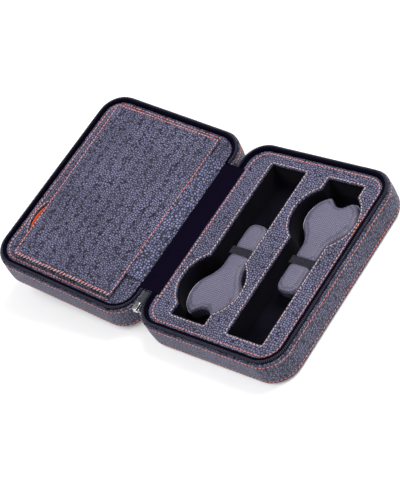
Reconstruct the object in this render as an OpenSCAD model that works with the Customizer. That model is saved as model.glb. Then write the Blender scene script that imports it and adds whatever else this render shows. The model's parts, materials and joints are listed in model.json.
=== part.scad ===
// Zip-round travel case for four watches, lying open like a book.
// Millimetres. +X runs from the lid across the spine to the base, +Y along the spine
// to the back, +Z up. The origin is the centre of the base's flat underside.
// Both halves are the same half, laid out from the hinge line: u is the distance from
// that line, y runs along the spine and z is the height over the underside.

/* [Case] */
// Length of the case along its spine
case_d = 190; // [170:1:230]
// Width of each half, from its spine wall to its outer wall
half_w = 148; // [142:1:180]
// Height of each half, from its underside to its rim
half_h = 29.5; // [28:0.5:40]
// Radius of the corners seen from above
corner_r = 23; // [18:1:28]
// Radius of the edge round the underside
bottom_r = 4; // [2:0.5:6]
// Thickness of the leather skin
skin_t = 1; // [0.8:0.1:1.4]
// Thickness of the wall, skin and board together
wall_t = 2.4; // [2:0.2:3.4]
// Thickness of the underside, skin and board together
floor_t = 2.6; // [2:0.2:4]
// Angle by which the stiff spine stops the open lid short of flat
lid_raise = 10; // [0:1:16]
// Distance from the hinge line to each spine wall
spine_gap = 2.2; // [2:0.1:3]

/* [Rim and zip] */
// Height of the rim over the leather wall
zip_rise = 3.2; // [2.8:0.1:4]
// Diameter of the zip's coil
coil_d = 2.4; // [1.8:0.1:2.6]
// Thickness of the zip's tape
tape_t = 0.8; // [0.6:0.1:1.2]
// Width of the zip's tape
tape_w = 8.4; // [7:0.1:12]
// Straight run of the zip past each corner at the spine
zip_tail = 6; // [4:0.5:12]
// Width of the rim between the outer face and the inner wall
rim_w = 5.8; // [5.6:0.1:7]
// Extra thickness of the inner wall at the spine
spine_pad = 1.2; // [0.8:0.1:5]
// Depth of the rim over the inner wall's top edge
lining_drop = 0.4; // [0.2:0.1:0.8]

/* [Tray and wells] */
// Depth of the tray under the rim
tray_drop = 3; // [2.6:0.1:5]
// Thickness of the leather-covered tray
tray_t = 2.2; // [1.8:0.1:3]
// Width of each slot
slot_w = 35; // [30:0.5:38]
// Distance from the end of a slot to the face of the case
slot_end = 18; // [14:0.5:24]
// Radius of the round bay in each slot
bay_r = 29.7; // [28.5:0.1:30]
// Distance from the end of a slot to the middle of its round bay
bay_end = 35; // [33:0.5:38]
// Distance from the round bays to the tray's long edges, on average
bay_edge = 8.6; // [7:0.1:10]
// Distance by which the slots sit nearer to the outer wall
slot_shift = 2.85; // [1:0.05:4]
// Thickness of a well's wall and floor
well_t = 1.2; // [0.8:0.1:1.6]
// Distance by which a well's wall stands back from the slot's edge
well_back = 0.3; // [0.2:0.1:0.6]

/* [Watch pads] */
// Half width of the pad's round head
head_half = 25.2; // [20:0.1:25.6]
// Half width of the pad's neck
neck_half = 11.4; // [8:0.1:12.5]
// Distance of the pad's middle line from the slot's
pad_shift = 0.6; // [0:0.1:1]
// Reach of the head's two lobes from the middle of the bay
lobe_reach = 25; // [20:0.5:25.5]
// Distance from the middle of the bay to the start of the straight neck
neck_start = 25; // [22:0.5:30]
// Reach of the neck from the middle of the bay
neck_reach = 67.5; // [55:0.5:70]
// Depth of the notch in the end of the head
notch_deep = 7.4; // [4:0.2:8]
// Depth of the pad's crown under the tray's top
pad_drop = 8.2; // [6:0.2:11]
// Height of the crown over the piping
pad_crown = 4.2; // [2:0.2:5]
// Height of the neck's underside over the head's
neck_lift = 2.4; // [2:0.1:3]
// Width of the elastic band round the neck
band_w = 8; // [6:0.5:14]
// Thickness of the elastic band
band_t = 1.1; // [0.8:0.1:1.4]
// Distance of the band from the middle of the bay
band_y = 38.5; // [36:0.5:46]

/* [Flap] */
// Distance from the flap's free edge to the outer face of the lid
flap_far = 15.7; // [14:0.1:30]
// Distance from each end of the flap to the faces of the case
flap_side = 11.5; // [10:0.5:20]
// Distance of the flap's hinge edge from the hinge line of the case
flap_u = 24.5; // [22:0.5:28]
// Thickness of the flap's leather
leather_t = 0.9; // [0.6:0.1:1.4]
// Thickness of the board in the flap
board_t = 1.2; // [0.8:0.1:1.6]
// Thickness of the flap's lining
cloth_t = 0.6; // [0.4:0.1:1]
// Margin of leather round the board
hem_w = 4; // [3:0.5:8]
// Length of the hinge strip along the spine
strip_len = 126; // [100:1:140]
// Distance of the hinge strip's middle towards the back
strip_y = 2.5; // [0:0.5:6]
// Distance by which the hinge strip laps over the cloth on the spine
strip_lap = 0.8; // [0.5:0.1:3]

/* [Zip slider] */
// Length of the slider
slider_len = 8; // [7:0.5:8]
// Width of the slider
slider_w = 5.4; // [5:0.1:5.6]
// Thickness of the slider's plates
plate_t = 1.2; // [1:0.1:1.6]
// Distance from the front of the case to the front of the slider
slider_back = 9.5; // [6:0.5:9.5]
// Length of the pull from its pin to its tip
pull_len = 10; // [9:0.5:20]
// Width of the pull
pull_w = 4; // [3.4:0.1:4.2]
// Diameter of the pull's pin
pin_d = 1.5; // [1.2:0.1:1.8]

/* [Hidden] */
$fn = 64;

// Clearances
fit_gap = 0.3;     // between a piece and the seat that it drops into
close_gap = 0.2;   // from the rim to the hinge line, so that the closed rims just miss
skin_gap = 0.1;    // between cloth and what it is laid on
eps = 0.01;
cut_over = 1;      // how far a cut runs past what it cuts

// Colours
leather = [0.20, 0.21, 0.27];
card = [0.45, 0.38, 0.30];
cloth = [0.05, 0.05, 0.07];
velvet = [0.03, 0.03, 0.035];
pad_grey = [0.36, 0.35, 0.41];
orange = [0.78, 0.24, 0.08];
tape = [0.10, 0.10, 0.14];
steel = [0.80, 0.80, 0.82];

// Hinge line of the case
hinge_x = -half_w / 2 - spine_gap;
hinge_z = half_h + close_gap;

// Heights
wall_top = half_h - zip_rise;
tray_top = half_h - tray_drop;
well_top = tray_top - tray_t;
well_floor = floor_t + well_t;
coil_z = half_h - coil_d / 2;

// Distances in from the outer face
tape_e = wall_t + tape_t;
coil_e = wall_t + tape_t / 2;
welt_e = coil_e + coil_d / 2 + fit_gap;
spine_rim = rim_w + spine_pad;

// Slots
tray_u0 = spine_gap + spine_rim + fit_gap;
tray_u1 = spine_gap + half_w - rim_w - fit_gap;
slot_len = case_d - 2 * slot_end;
bay_y = slot_len / 2 - bay_end;
slot_pitch = tray_u1 - tray_u0 - 2 * (bay_r + bay_edge);
slot_mid = (tray_u0 + tray_u1) / 2 + slot_shift;
inner_slot = [slot_mid - slot_pitch / 2, -1];
outer_slot = [slot_mid + slot_pitch / 2, 1];

// Where the zip ends at the spine
tail_y = case_d / 2 - corner_r - zip_tail;

// Laying out

// The base stands on the floor.
module on_base() {
    translate([hinge_x, 0, 0]) children();
}

// The lid is the same half turned round and tipped up about the hinge line.
module on_lid() {
    translate([hinge_x, 0, hinge_z])
        rotate([0, lid_raise, 0])
            rotate([0, 0, 180])
                translate([0, 0, -hinge_z]) children();
}

// The zip's end stands halfway between the two halves, with the hinge line as its origin.
module on_zip_end() {
    translate([hinge_x, 0, hinge_z]) rotate([0, lid_raise / 2, 0]) children();
}

// Plan shapes

module round_rect(w, d, r) {
    translate([r, 0]) square([w - 2 * r, d]);
    translate([0, r]) square([w, d - 2 * r]);
    for (x = [r, w - r], y = [r, d - r]) translate([x, y]) circle(r);
}

// Plan of a half, drawn in by e, and by es at the spine.
module plan(e, es) {
    translate([spine_gap + es, e - case_d / 2])
        round_rect(half_w - e - es, case_d - 2 * e, corner_r - e);
}

module plan_ring(e_out, e_in, es_in) {
    difference() {
        plan(e_out, e_out);
        plan(e_in, es_in);
    }
}

// What lies along the spine between the ends of the zip.
module spine_box(z0, deep) {
    translate([0, -tail_y, z0]) cube([deep, 2 * tail_y, half_h]);
}

// Outline of a slot with its round bay, grown by e.
module keyhole(slot, e) {
    translate([slot[0], 0]) {
        square([slot_w + 2 * e, slot_len + 2 * e], center = true);
        translate([0, slot[1] * bay_y]) circle(bay_r + e);
    }
}

// Pieces of a half

// Solid tub drawn in by e all round and from below, with a rounded edge round its underside.
// It stands over the wall's top by over.
module tub(e, over = 0) {
    edge_r = bottom_r - e;
    w = half_w - 2 * e;
    d = case_d - 2 * e;
    r = corner_r - e;
    translate([spine_gap + e, -d / 2, e]) {
        translate([0, 0, edge_r])
            linear_extrude(wall_top - bottom_r + over) round_rect(w, d, r);
        linear_extrude(edge_r)
            translate([edge_r, edge_r]) round_rect(w - 2 * edge_r, d - 2 * edge_r, r - edge_r);
        for (y = [edge_r, d - edge_r])
            translate([r, y, edge_r])
                rotate([0, 90, 0]) cylinder(r = edge_r, h = w - 2 * r);
        for (x = [edge_r, w - edge_r])
            translate([x, r, edge_r])
                rotate([-90, 0, 0]) cylinder(r = edge_r, h = d - 2 * r);
        for (x = [0, 1], y = [0, 1])
            translate([x ? w - r : r, y ? d - r : r, edge_r])
                rotate([0, 0, x ? (y ? 0 : 270) : (y ? 90 : 180)])
                    rotate_extrude(angle = 90) translate([r - edge_r, 0]) circle(edge_r);
    }
}

// Leather skin turned over the board.
module skin() {
    difference() {
        tub(0);
        tub(skin_t, skin_t);
    }
}

// Board tub that holds the half's shape.
module board() {
    difference() {
        tub(skin_t);
        translate([0, 0, floor_t]) linear_extrude(half_h) plan(wall_t, wall_t);
    }
}

// Cloth-covered inner wall, whose top edge is the welt inside the zip.
module lining() {
    difference() {
        union() {
            translate([0, 0, floor_t])
                linear_extrude(wall_top - floor_t) plan_ring(tape_e, rim_w, spine_rim);
            translate([0, 0, floor_t])
                linear_extrude(half_h - lining_drop - floor_t) plan_ring(welt_e, rim_w, spine_rim);
        }
        spine_box(wall_top, spine_gap + spine_rim + cut_over);
    }
}

// Zip tape, sewn between the wall and the lining.
module zip_tape() {
    difference() {
        translate([0, 0, coil_z - tape_w])
            linear_extrude(tape_w - coil_d / 2) plan_ring(wall_t, tape_e, tape_e);
        spine_box(coil_z - tape_w - cut_over, spine_gap + rim_w);
    }
}

// Zip coil along the tape's top edge, round three sides and past the spine's corners.
module zip_coil() {
    r = corner_r - coil_e;
    mid_y = case_d / 2 - corner_r;
    near_u = spine_gap + corner_r;
    far_u = spine_gap + half_w - corner_r;
    translate([0, 0, coil_z]) {
        for (s = [-1, 1]) {
            translate([near_u, s * (mid_y + r), 0])
                rotate([0, 90, 0]) cylinder(d = coil_d, h = far_u - near_u);
            translate([spine_gap + coil_e, s > 0 ? tail_y : -mid_y, 0])
                rotate([-90, 0, 0]) cylinder(d = coil_d, h = zip_tail);
            for (u = [near_u, far_u])
                translate([u, s * mid_y, 0])
                    rotate([0, 0, u == far_u ? (s > 0 ? 0 : 270) : (s > 0 ? 90 : 180)])
                        rotate_extrude(angle = 90) translate([r, 0]) circle(d = coil_d);
        }
        translate([far_u + r, -mid_y, 0])
            rotate([-90, 0, 0]) cylinder(d = coil_d, h = 2 * mid_y);
    }
}

// Leather-covered tray with its two slots.
module tray() {
    translate([0, 0, well_top])
        linear_extrude(tray_t)
            difference() {
                plan(rim_w + fit_gap, spine_rim + fit_gap);
                keyhole(inner_slot, 0);
                keyhole(outer_slot, 0);
            }
}

// Velvet-lined well under a slot.
module well(slot) {
    difference() {
        translate([0, 0, floor_t])
            linear_extrude(well_top - floor_t) keyhole(slot, well_back + well_t);
        translate([0, 0, well_floor])
            linear_extrude(half_h) keyhole(slot, well_back);
    }
}

// Watch pad: a round head with a notch in its end, and a straight neck.
// Its own origin is the middle of the bay, with the neck along +y.
// Half outline from the notch round one lobe to the end of the neck.
notch_y = notch_deep - lobe_reach;
shoulder = head_half * 0.68;
half_outline = [
    [0, notch_y], [head_half * 0.18, notch_y * 1.06], [head_half * 0.34, notch_y * 1.26],
    [head_half * 0.47, -lobe_reach], [head_half * 0.64, -lobe_reach * 0.936],
    [head_half * 0.86, -lobe_reach * 0.72], [head_half * 0.985, -lobe_reach * 0.4],
    [head_half, -lobe_reach * 0.08], [head_half * 0.9, neck_start * 0.24],
    [shoulder, neck_start * 0.5], [(shoulder + neck_half) / 2, neck_start * 0.66],
    [neck_half * 1.1, neck_start * 0.8], [neck_half, neck_start],
    [neck_half, (neck_start + neck_reach) / 2], [neck_half, neck_reach - neck_half * 0.8],
    [neck_half * 0.84, neck_reach - neck_half * 0.25],
    [neck_half * 0.42, neck_reach - neck_half * 0.03], [0, neck_reach]
];
half_n = len(half_outline);
outline_n = 2 * half_n - 2;
// The whole outline goes round once, and is smoothed into two steps a point.
function outline_key(i) =
    let (k = i % outline_n)
    k < half_n ? half_outline[k]
               : [-half_outline[outline_n - k][0], half_outline[outline_n - k][1]];
function curve_point(i, t) =
    let (
        a = outline_key(i + outline_n - 1), b = outline_key(i),
        c = outline_key(i + 1), d = outline_key(i + 2)
    )
    0.5 * (2 * b + (c - a) * t + (2 * a - 5 * b + 4 * c - d) * t * t
        + (3 * b - a - 3 * c + d) * t * t * t);
pad_outline = [for (i = [0 : outline_n - 1], t = [0, 0.5]) curve_point(i, t)];
pad_n = len(pad_outline);
// Each point of the outline has a partner on the pad's middle line, where the crown ends.
ridge_inset = 4;
ridge_step = 0.3;
ridge_low = notch_y + ridge_inset;
ridge_high = neck_reach - ridge_inset;
function ridge_index(i) = min(i % pad_n, pad_n - i % pad_n);
function ridge_y(k) =
    max(ridge_low + ridge_step * k,
        min(ridge_high - ridge_step * (pad_n / 2 - k), pad_outline[k][1]));
function neck_share(y) = max(0, min(1, (y / neck_start - 0.72) / 0.32));

// Height of the pad's piping and of its crown over the pad's own underside.
pad_floor = well_floor + fit_gap;
pad_top = tray_top - pad_drop - pad_floor;
piping_z = pad_top - pad_crown;
// Rings from the underside up: share of the way to the middle line, and height.
pad_rings = [
    [0.10, 0], [0.02, 1.2], [0.05, piping_z * 0.5], [0.05, piping_z * 0.85],
    [0, piping_z], [0.05, piping_z + 0.5], [0.10, piping_z + pad_crown * 0.62],
    [0.30, piping_z + pad_crown * 0.9], [0.62, piping_z + pad_crown * 0.98]
];
ring_n = len(pad_rings);
function lifted(z, y) = z + max(0, neck_lift * neck_share(y) * (1 - z / piping_z));
function ring_point(ring, i) =
    let (p = pad_outline[i], q = [0, ridge_y(ridge_index(i))], s = ring[0])
    [p[0] + (q[0] - p[0]) * s, p[1] + (q[1] - p[1]) * s, lifted(ring[1], p[1])];
function ridge_point(k, z) = [0, ridge_y(k), lifted(z, pad_outline[k][1])];
ridge_n = pad_n / 2 + 1;

// Two triangles from the edge a-b to its partners c and d, cut so that none lies in the
// middle line, where the outline's first and middle points already are.
function cap_faces(i, a, b, c, d) =
    i % (pad_n / 2) == 0 ? [[a, b, d], [b, c, d]] : [[a, b, c], [a, c, d]];

module pad_form() {
    points = [
        for (ring = pad_rings, i = [0 : pad_n - 1]) ring_point(ring, i),
        for (z = [pad_rings[0][1], pad_top], k = [0 : ridge_n - 1]) ridge_point(k, z)
    ];
    low = ring_n * pad_n;
    high = low + ridge_n;
    last = (ring_n - 1) * pad_n;
    faces = [
        for (r = [0 : ring_n - 2], i = [0 : pad_n - 1])
            let (j = (i + 1) % pad_n, a = r * pad_n, b = a + pad_n)
            each [[a + i, b + i, b + j], [a + i, b + j, a + j]],
        for (i = [0 : pad_n - 1])
            let (j = (i + 1) % pad_n, p = ridge_index(i), q = ridge_index(j))
            each concat(
                cap_faces(i, i, j, low + q, low + p),
                [for (f = cap_faces(i, last + i, last + j, high + q, high + p)) [f[2], f[1], f[0]]]
            )
    ];
    polyhedron(points, faces);
}

module at_bay(slot) {
    translate([slot[0] - slot[1] * pad_shift, slot[1] * bay_y, pad_floor])
        rotate([0, 0, slot[1] < 0 ? 0 : 180]) children();
}

module pad(slot) {
    at_bay(slot) pad_form();
}

// Elastic loop sewn round the pad's neck. The radius is that of its inner corners.
band_r = 1;
module band(slot) {
    half = neck_half + fit_gap;
    low = neck_lift - fit_gap;
    high = pad_top + fit_gap;
    at_bay(slot)
        translate([0, band_y + band_w / 2, 0])
            rotate([90, 0, 0])
                linear_extrude(band_w)
                    difference() {
                        translate([-half - band_t, low - band_t])
                            round_rect(2 * (half + band_t), high - low + 2 * band_t, band_r + band_t);
                        translate([-half, low]) round_rect(2 * half, high - low, band_r);
                    }
}

// Flap over the lid's tray

flap_w = spine_gap + half_w - flap_far - flap_u;
flap_d = case_d - 2 * flap_side;
flap_z0 = tray_top + fit_gap + skin_gap;
flap_z1 = flap_z0 + cloth_t;
flap_z2 = flap_z1 + board_t;
flap_z3 = flap_z2 + leather_t;
hem_r = 3;
lining_in = 1;     // from the leather's edge to the lining's

module flap_leather() {
    on_lid()
        difference() {
            translate([flap_u, -flap_d / 2, flap_z1])
                linear_extrude(flap_z3 - flap_z1) round_rect(flap_w, flap_d, hem_r);
            translate([flap_u + hem_w, hem_w - flap_d / 2, flap_z1 - cut_over])
                cube([flap_w - 2 * hem_w, flap_d - 2 * hem_w, board_t + cut_over]);
        }
}

module flap_board() {
    on_lid()
        translate([flap_u + hem_w, hem_w - flap_d / 2, flap_z1])
            cube([flap_w - 2 * hem_w, flap_d - 2 * hem_w, board_t]);
}

module flap_lining() {
    on_lid()
        translate([flap_u + lining_in, lining_in - flap_d / 2, flap_z0])
            linear_extrude(cloth_t)
                round_rect(flap_w - 2 * lining_in, flap_d - 2 * lining_in, hem_r - lining_in);
}

// Leather strip that hinges the flap: it is glued down over the edge of the spine's cloth and
// the tray, and rises to the flap's top.
module flap_strip() {
    near = tray_u0 - fit_gap - strip_lap;
    far = flap_u - fit_gap;
    bend = near + (far - near) / 3;
    low = wall_top + cloth_t + 2 * skin_gap;
    rise = flap_z3 - skin_gap - leather_t - low;
    on_lid()
        translate([0, strip_len / 2 - strip_y, low])
            rotate([90, 0, 0])
                linear_extrude(strip_len)
                    polygon([
                        [near, 0], [bend, 0], [far, rise],
                        [far, rise + leather_t], [bend, leather_t], [near, leather_t]
                    ]);
}

// Spine

// A point [u, z] of the base and of the lid, in the plane across the hinge line.
function in_base(p) = [p[0], p[1] - hinge_z];
function in_lid(p) =
    let (u = p[0], z = p[1] - hinge_z)
    [-u * cos(lid_raise) + z * sin(lid_raise), u * sin(lid_raise) + z * cos(lid_raise)];

// Bent sheet along the spine. Its upper and its lower side are lines of points of a half,
// which run up to a middle point under the hinge line and down again in the lid.
module spine_sheet(upper, mid_upper, lower, mid_lower) {
    n = len(upper);
    m = len(lower);
    y_len = 2 * tail_y - 2 * fit_gap;
    outline = concat(
        [for (p = upper) in_base(p)], [[0, -mid_upper]],
        [for (i = [n - 1 : -1 : 0]) in_lid(upper[i])],
        [for (p = lower) in_lid(p)], [[0, -mid_lower]],
        [for (i = [m - 1 : -1 : 0]) in_base(lower[i])]
    );
    translate([hinge_x, y_len / 2, hinge_z])
        rotate([90, 0, 0]) linear_extrude(y_len) polygon(outline);
}

// Cloth across the spine, from the tray of the base over both rims to the tray of the lid.
module hinge_lining() {
    end_u = tray_u0 - fit_gap;
    low = wall_top + skin_gap;
    spine_sheet(
        [[end_u, low + cloth_t], [spine_gap + wall_t, low + cloth_t]], skin_gap,
        [[end_u, low], [spine_gap, low]], skin_gap + cloth_t
    );
}

// Leather down the outside of both spine walls, with a fold under the cloth. Both depths are
// taken from the wall's top.
strip_deep = 9;
fold_deep = 1;
module spine_strip() {
    inner_u = spine_gap - skin_gap;
    outer_u = inner_u - leather_t;
    fold_top = cloth_t + 3 * skin_gap;
    spine_sheet(
        [[inner_u, wall_top - strip_deep], [inner_u, wall_top - fold_deep]], fold_top,
        [[outer_u, wall_top - strip_deep], [outer_u, wall_top - fold_deep]],
        fold_top + 2 * leather_t
    );
}

// Zip end, slider and pull, laid out from the hinge line.

slider_front = -case_d / 2 + slider_back;
post_len = 1.6;
post_w = 2;
chain_h = 1.2;
chain_w = 3.8;
plate_gap = chain_h / 2 + fit_gap;
chain_front = slider_front + post_len + fit_gap;
flange_t = slider_w / 2 - chain_w / 2 - fit_gap;
mouth_len = 3;
// The chain lies at the height of the leather walls' tops, clear of the closed rims.
chain_z = -3;
// The pin is under the slider, which is outside when the case is closed.
pin_in = 3.5;
pin_y = slider_front + pin_in;
ear_w = 1.2;
ear_wall = 0.8;
ear_r = pin_d / 2 + ear_wall;
eye_w = 2;
ear_gap = eye_w + 2 * fit_gap;
eye_r = pin_d / 2 + fit_gap + 1;
pin_drop = plate_gap + plate_t + eye_r;
// How far the pull's narrow shank runs before it widens.
shank_len = 5;
shank_lap = 0.4;
tip_y = pull_len - pull_w / 2;

// Closed end of the zip's chain, sewn to the end of the spine.
module zip_end() {
    on_zip_end()
        translate([-chain_w / 2, chain_front, chain_z - chain_h / 2])
            cube([chain_w, -tail_y - fit_gap / 2 - chain_front, chain_h]);
}

module zip_slider() {
    on_zip_end()
        translate([0, 0, chain_z]) {
            for (z = [plate_gap, -plate_gap - plate_t])
                translate([-slider_w / 2, slider_front, z])
                    cube([slider_w, slider_len, plate_t]);
            translate([-post_w / 2, slider_front, -plate_gap - eps])
                cube([post_w, post_len, 2 * plate_gap + 2 * eps]);
            for (s = [-1, 1])
                translate([
                    s * (slider_w - flange_t) / 2 - flange_t / 2, slider_front + mouth_len,
                    -plate_gap - eps
                ])
                    cube([flange_t, slider_len - mouth_len, plate_gap - fit_gap / 2]);
            for (s = [-1, 1])
                translate([s * (ear_gap + ear_w) / 2 - ear_w / 2, pin_y, -pin_drop]) {
                    rotate([0, 90, 0]) cylinder(r = ear_r, h = ear_w);
                    translate([0, -ear_r, 0])
                        cube([ear_w, 2 * ear_r, pin_drop - plate_gap - eps]);
                }
            translate([-ear_gap / 2 - ear_w / 2, pin_y, -pin_drop])
                rotate([0, 90, 0]) cylinder(d = pin_d, h = ear_gap + ear_w);
        }
}

// Pull with an eye on the pin and a hole near its tip, hanging under the slider.
module zip_pull() {
    on_zip_end()
        translate([0, pin_y, chain_z - pin_drop])
            rotate([-90, 0, 0])
                difference() {
                    union() {
                        rotate([0, 90, 0]) cylinder(r = eye_r, h = eye_w, center = true);
                        translate([-eye_w / 2, 0, -chain_h / 2]) cube([eye_w, shank_len, chain_h]);
                        translate([-pull_w / 2, shank_len - shank_lap, -chain_h / 2])
                            cube([pull_w, tip_y - shank_len + shank_lap, chain_h]);
                        translate([0, tip_y, -chain_h / 2]) cylinder(d = pull_w, h = chain_h);
                    }
                    rotate([0, 90, 0])
                        cylinder(d = pin_d + 2 * fit_gap, h = 2 * eye_w, center = true);
                    translate([0, tip_y, -chain_h]) cylinder(d = pull_w / 2, h = 2 * chain_h);
                }
}

// The two halves

module base_skin() { color(leather) on_base() skin(); }
module base_board() { color(card) on_base() board(); }
module base_lining() { color(cloth) on_base() lining(); }
module base_zip_tape() { color(tape) on_base() zip_tape(); }
module base_zip_coil() { color(tape) on_base() zip_coil(); }
module base_tray() { color(leather) on_base() tray(); }
module base_well_inner() { color(velvet) on_base() well(inner_slot); }
module base_well_outer() { color(velvet) on_base() well(outer_slot); }
module base_pad_inner() { color(pad_grey) on_base() pad(inner_slot); }
module base_pad_outer() { color(pad_grey) on_base() pad(outer_slot); }
module base_band_inner() { color(cloth) on_base() band(inner_slot); }
module base_band_outer() { color(cloth) on_base() band(outer_slot); }
module lid_skin() { color(leather) on_lid() skin(); }
module lid_board() { color(card) on_lid() board(); }
module lid_lining() { color(cloth) on_lid() lining(); }
module lid_zip_tape() { color(tape) on_lid() zip_tape(); }
module lid_zip_coil() { color(tape) on_lid() zip_coil(); }
module lid_tray() { color(leather) on_lid() tray(); }
module lid_well_inner() { color(orange) on_lid() well(inner_slot); }
module lid_well_outer() { color(orange) on_lid() well(outer_slot); }
module lid_pad_inner() { color(pad_grey) on_lid() pad(inner_slot); }
module lid_pad_outer() { color(pad_grey) on_lid() pad(outer_slot); }
module lid_band_inner() { color(cloth) on_lid() band(inner_slot); }
module lid_band_outer() { color(cloth) on_lid() band(outer_slot); }

base_skin();
base_board();
base_lining();
base_zip_tape();
base_zip_coil();
base_tray();
base_well_inner();
base_well_outer();
base_pad_inner();
base_pad_outer();
base_band_inner();
base_band_outer();
lid_skin();
lid_board();
lid_lining();
lid_zip_tape();
lid_zip_coil();
lid_tray();
lid_well_inner();
lid_well_outer();
lid_pad_inner();
lid_pad_outer();
lid_band_inner();
lid_band_outer();
color(leather) flap_leather();
color(cloth) flap_board();
color(cloth) flap_lining();
color(leather) flap_strip();
color(cloth) hinge_lining();
color(leather) spine_strip();
color(tape) zip_end();
color(steel) zip_slider();
color(steel) zip_pull();
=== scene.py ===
"""Looks of a zip-round leather travel case for four watches, lying open like a book.

Each half is worked out in its own coordinates: u is the distance from the hinge line, y runs
along the spine and z is the height over the underside, all in millimetres. place() carries
them to the row frame in metres.
"""
import json
import math

import bmesh
import bpy
import numpy as np
from mathutils import Matrix, Vector
from mathutils.geometry import delaunay_2d_cdt


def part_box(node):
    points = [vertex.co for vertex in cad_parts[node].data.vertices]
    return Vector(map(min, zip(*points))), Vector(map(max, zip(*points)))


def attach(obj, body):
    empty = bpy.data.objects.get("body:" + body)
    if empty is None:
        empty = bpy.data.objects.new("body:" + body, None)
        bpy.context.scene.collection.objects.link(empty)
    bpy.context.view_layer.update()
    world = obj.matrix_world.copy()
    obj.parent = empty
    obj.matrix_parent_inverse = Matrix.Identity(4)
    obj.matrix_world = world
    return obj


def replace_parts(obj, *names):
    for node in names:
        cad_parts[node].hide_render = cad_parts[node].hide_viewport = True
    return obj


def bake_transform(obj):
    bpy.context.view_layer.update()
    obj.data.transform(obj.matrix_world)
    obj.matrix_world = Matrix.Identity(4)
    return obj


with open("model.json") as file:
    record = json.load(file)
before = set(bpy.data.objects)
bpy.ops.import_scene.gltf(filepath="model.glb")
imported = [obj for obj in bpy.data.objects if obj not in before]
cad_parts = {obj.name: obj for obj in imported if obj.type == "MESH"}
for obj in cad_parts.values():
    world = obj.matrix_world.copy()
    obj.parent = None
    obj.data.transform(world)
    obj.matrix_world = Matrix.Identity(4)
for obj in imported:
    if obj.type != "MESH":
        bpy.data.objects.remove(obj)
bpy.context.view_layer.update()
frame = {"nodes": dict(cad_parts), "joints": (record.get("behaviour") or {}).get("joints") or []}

MM = 0.001
SEED = 7
rng = np.random.default_rng(SEED)

# Sizes read from the frame, in millimetres
joints = {j["name"]: j for j in frame["joints"]}
HINGE = np.array(joints["lid_hinge"]["pos_m"]) / MM
LID_RAISE = math.radians(180 - joints["lid_hinge"]["range_deg"][1])
skin_lo, skin_hi = (np.array(c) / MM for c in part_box("base_skin"))
tray_lo, tray_hi = (np.array(c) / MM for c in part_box("base_tray"))
coil_hi = np.array(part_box("base_zip_coil")[1]) / MM
cloth_hi = np.array(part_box("hinge_lining")[1]) / MM

CASE_D = skin_hi[1] - skin_lo[1]
U_NEAR = skin_lo[0] - HINGE[0]
U_FAR = skin_hi[0] - HINGE[0]
WALL_TOP = skin_hi[2]
RIM_TOP = coil_hi[2]
TRAY_TOP = tray_hi[2]
TRAY_LOW = tray_lo[2]
TRAY_NEAR = tray_lo[0] - HINGE[0]
TRAY_FAR = tray_hi[0] - HINGE[0]
TAIL_Y = cloth_hi[1]

# Sizes of the leatherwork, in millimetres
CORNER_R = 23.0
BOTTOM_R = 4.0
WALL_T = 2.4
RIM_W = 5.8
SPINE_RIM = TRAY_NEAR - U_NEAR - 0.3
COIL_IN = 2.8
COIL_R = 1.2
SLOT_HALF_W = 17.5
SLOT_HALF_L = 77.0
BAY_R = 29.7
BAY_Y = 42.0
SLOT_CORNER = 1.6
WELL_BACK = 0.3
WELL_FLOOR = 3.8
SLOTS = {"inner": (50.65, -1), "outer": (108.65, 1)}
PAD_FLOOR = 4.1
PAD_TOP = 18.3
PAD_SHIFT = 0.6

# Sizes of the stitching, in millimetres
STITCH_PITCH = 3.3
STITCH_LEN = 2.5
STITCH_R = 0.36
SEAM_DEEP = 0.35

# Spread of the stitches' slant and length, and their height as a share of their width
LEAN_SPREAD = 0.05
LENGTH_SPREAD = 0.06
STITCH_FLAT = 0.75


# Placing

def place(points, half):
    """Half coordinates in mm to the row frame in m. The base only moves to the hinge line. The lid is
    turned half round about the upright through that line, then raised about the line itself. Pieces
    with coordinates of their own give a function in the half's place."""
    p = np.asarray(points, float).reshape(-1, 3)
    if callable(half):
        return half(p)
    if half == "base":
        out = p + [HINGE[0], 0, 0]
    else:
        x, y, z = -p[:, 0], -p[:, 1], p[:, 2] - HINGE[2]
        c, s = math.cos(LID_RAISE), math.sin(LID_RAISE)
        out = np.stack([x * c + z * s, y, z * c - x * s], 1) + [HINGE[0], 0, HINGE[2]]
    return out * MM


def upward(half):
    """Direction of a half's own z in the row frame."""
    return place([[0, 0, 1]], half)[0] - place([[0, 0, 0]], half)[0]


def zip_end_place(points):
    """Coordinates about the hinge line in mm, x to the base and z up, to the row frame in m, leaning
    halfway between the two halves."""
    p = np.asarray(points, float).reshape(-1, 3)
    c, s = math.cos(LID_RAISE / 2), math.sin(LID_RAISE / 2)
    x, y, z = p[:, 0], p[:, 1], p[:, 2]
    return (np.stack([x * c + z * s, y, z * c - x * s], 1) + [HINGE[0], 0, HINGE[2]]) * MM


# Outlines

def arc(cx, cy, r, a0, a1, n):
    """n points on a circle of radius r round (cx, cy), from angle a0 to a1 in degrees, without the last."""
    a = np.radians(a0 + (a1 - a0) * np.arange(n) / n)
    return np.stack([cx + r * np.cos(a), cy + r * np.sin(a)], 1)


def line(p, q, n):
    """n points from p towards q, without the last."""
    t = (np.arange(n) / n)[:, None]
    return np.asarray(p, float) * (1 - t) + np.asarray(q, float) * t


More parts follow.
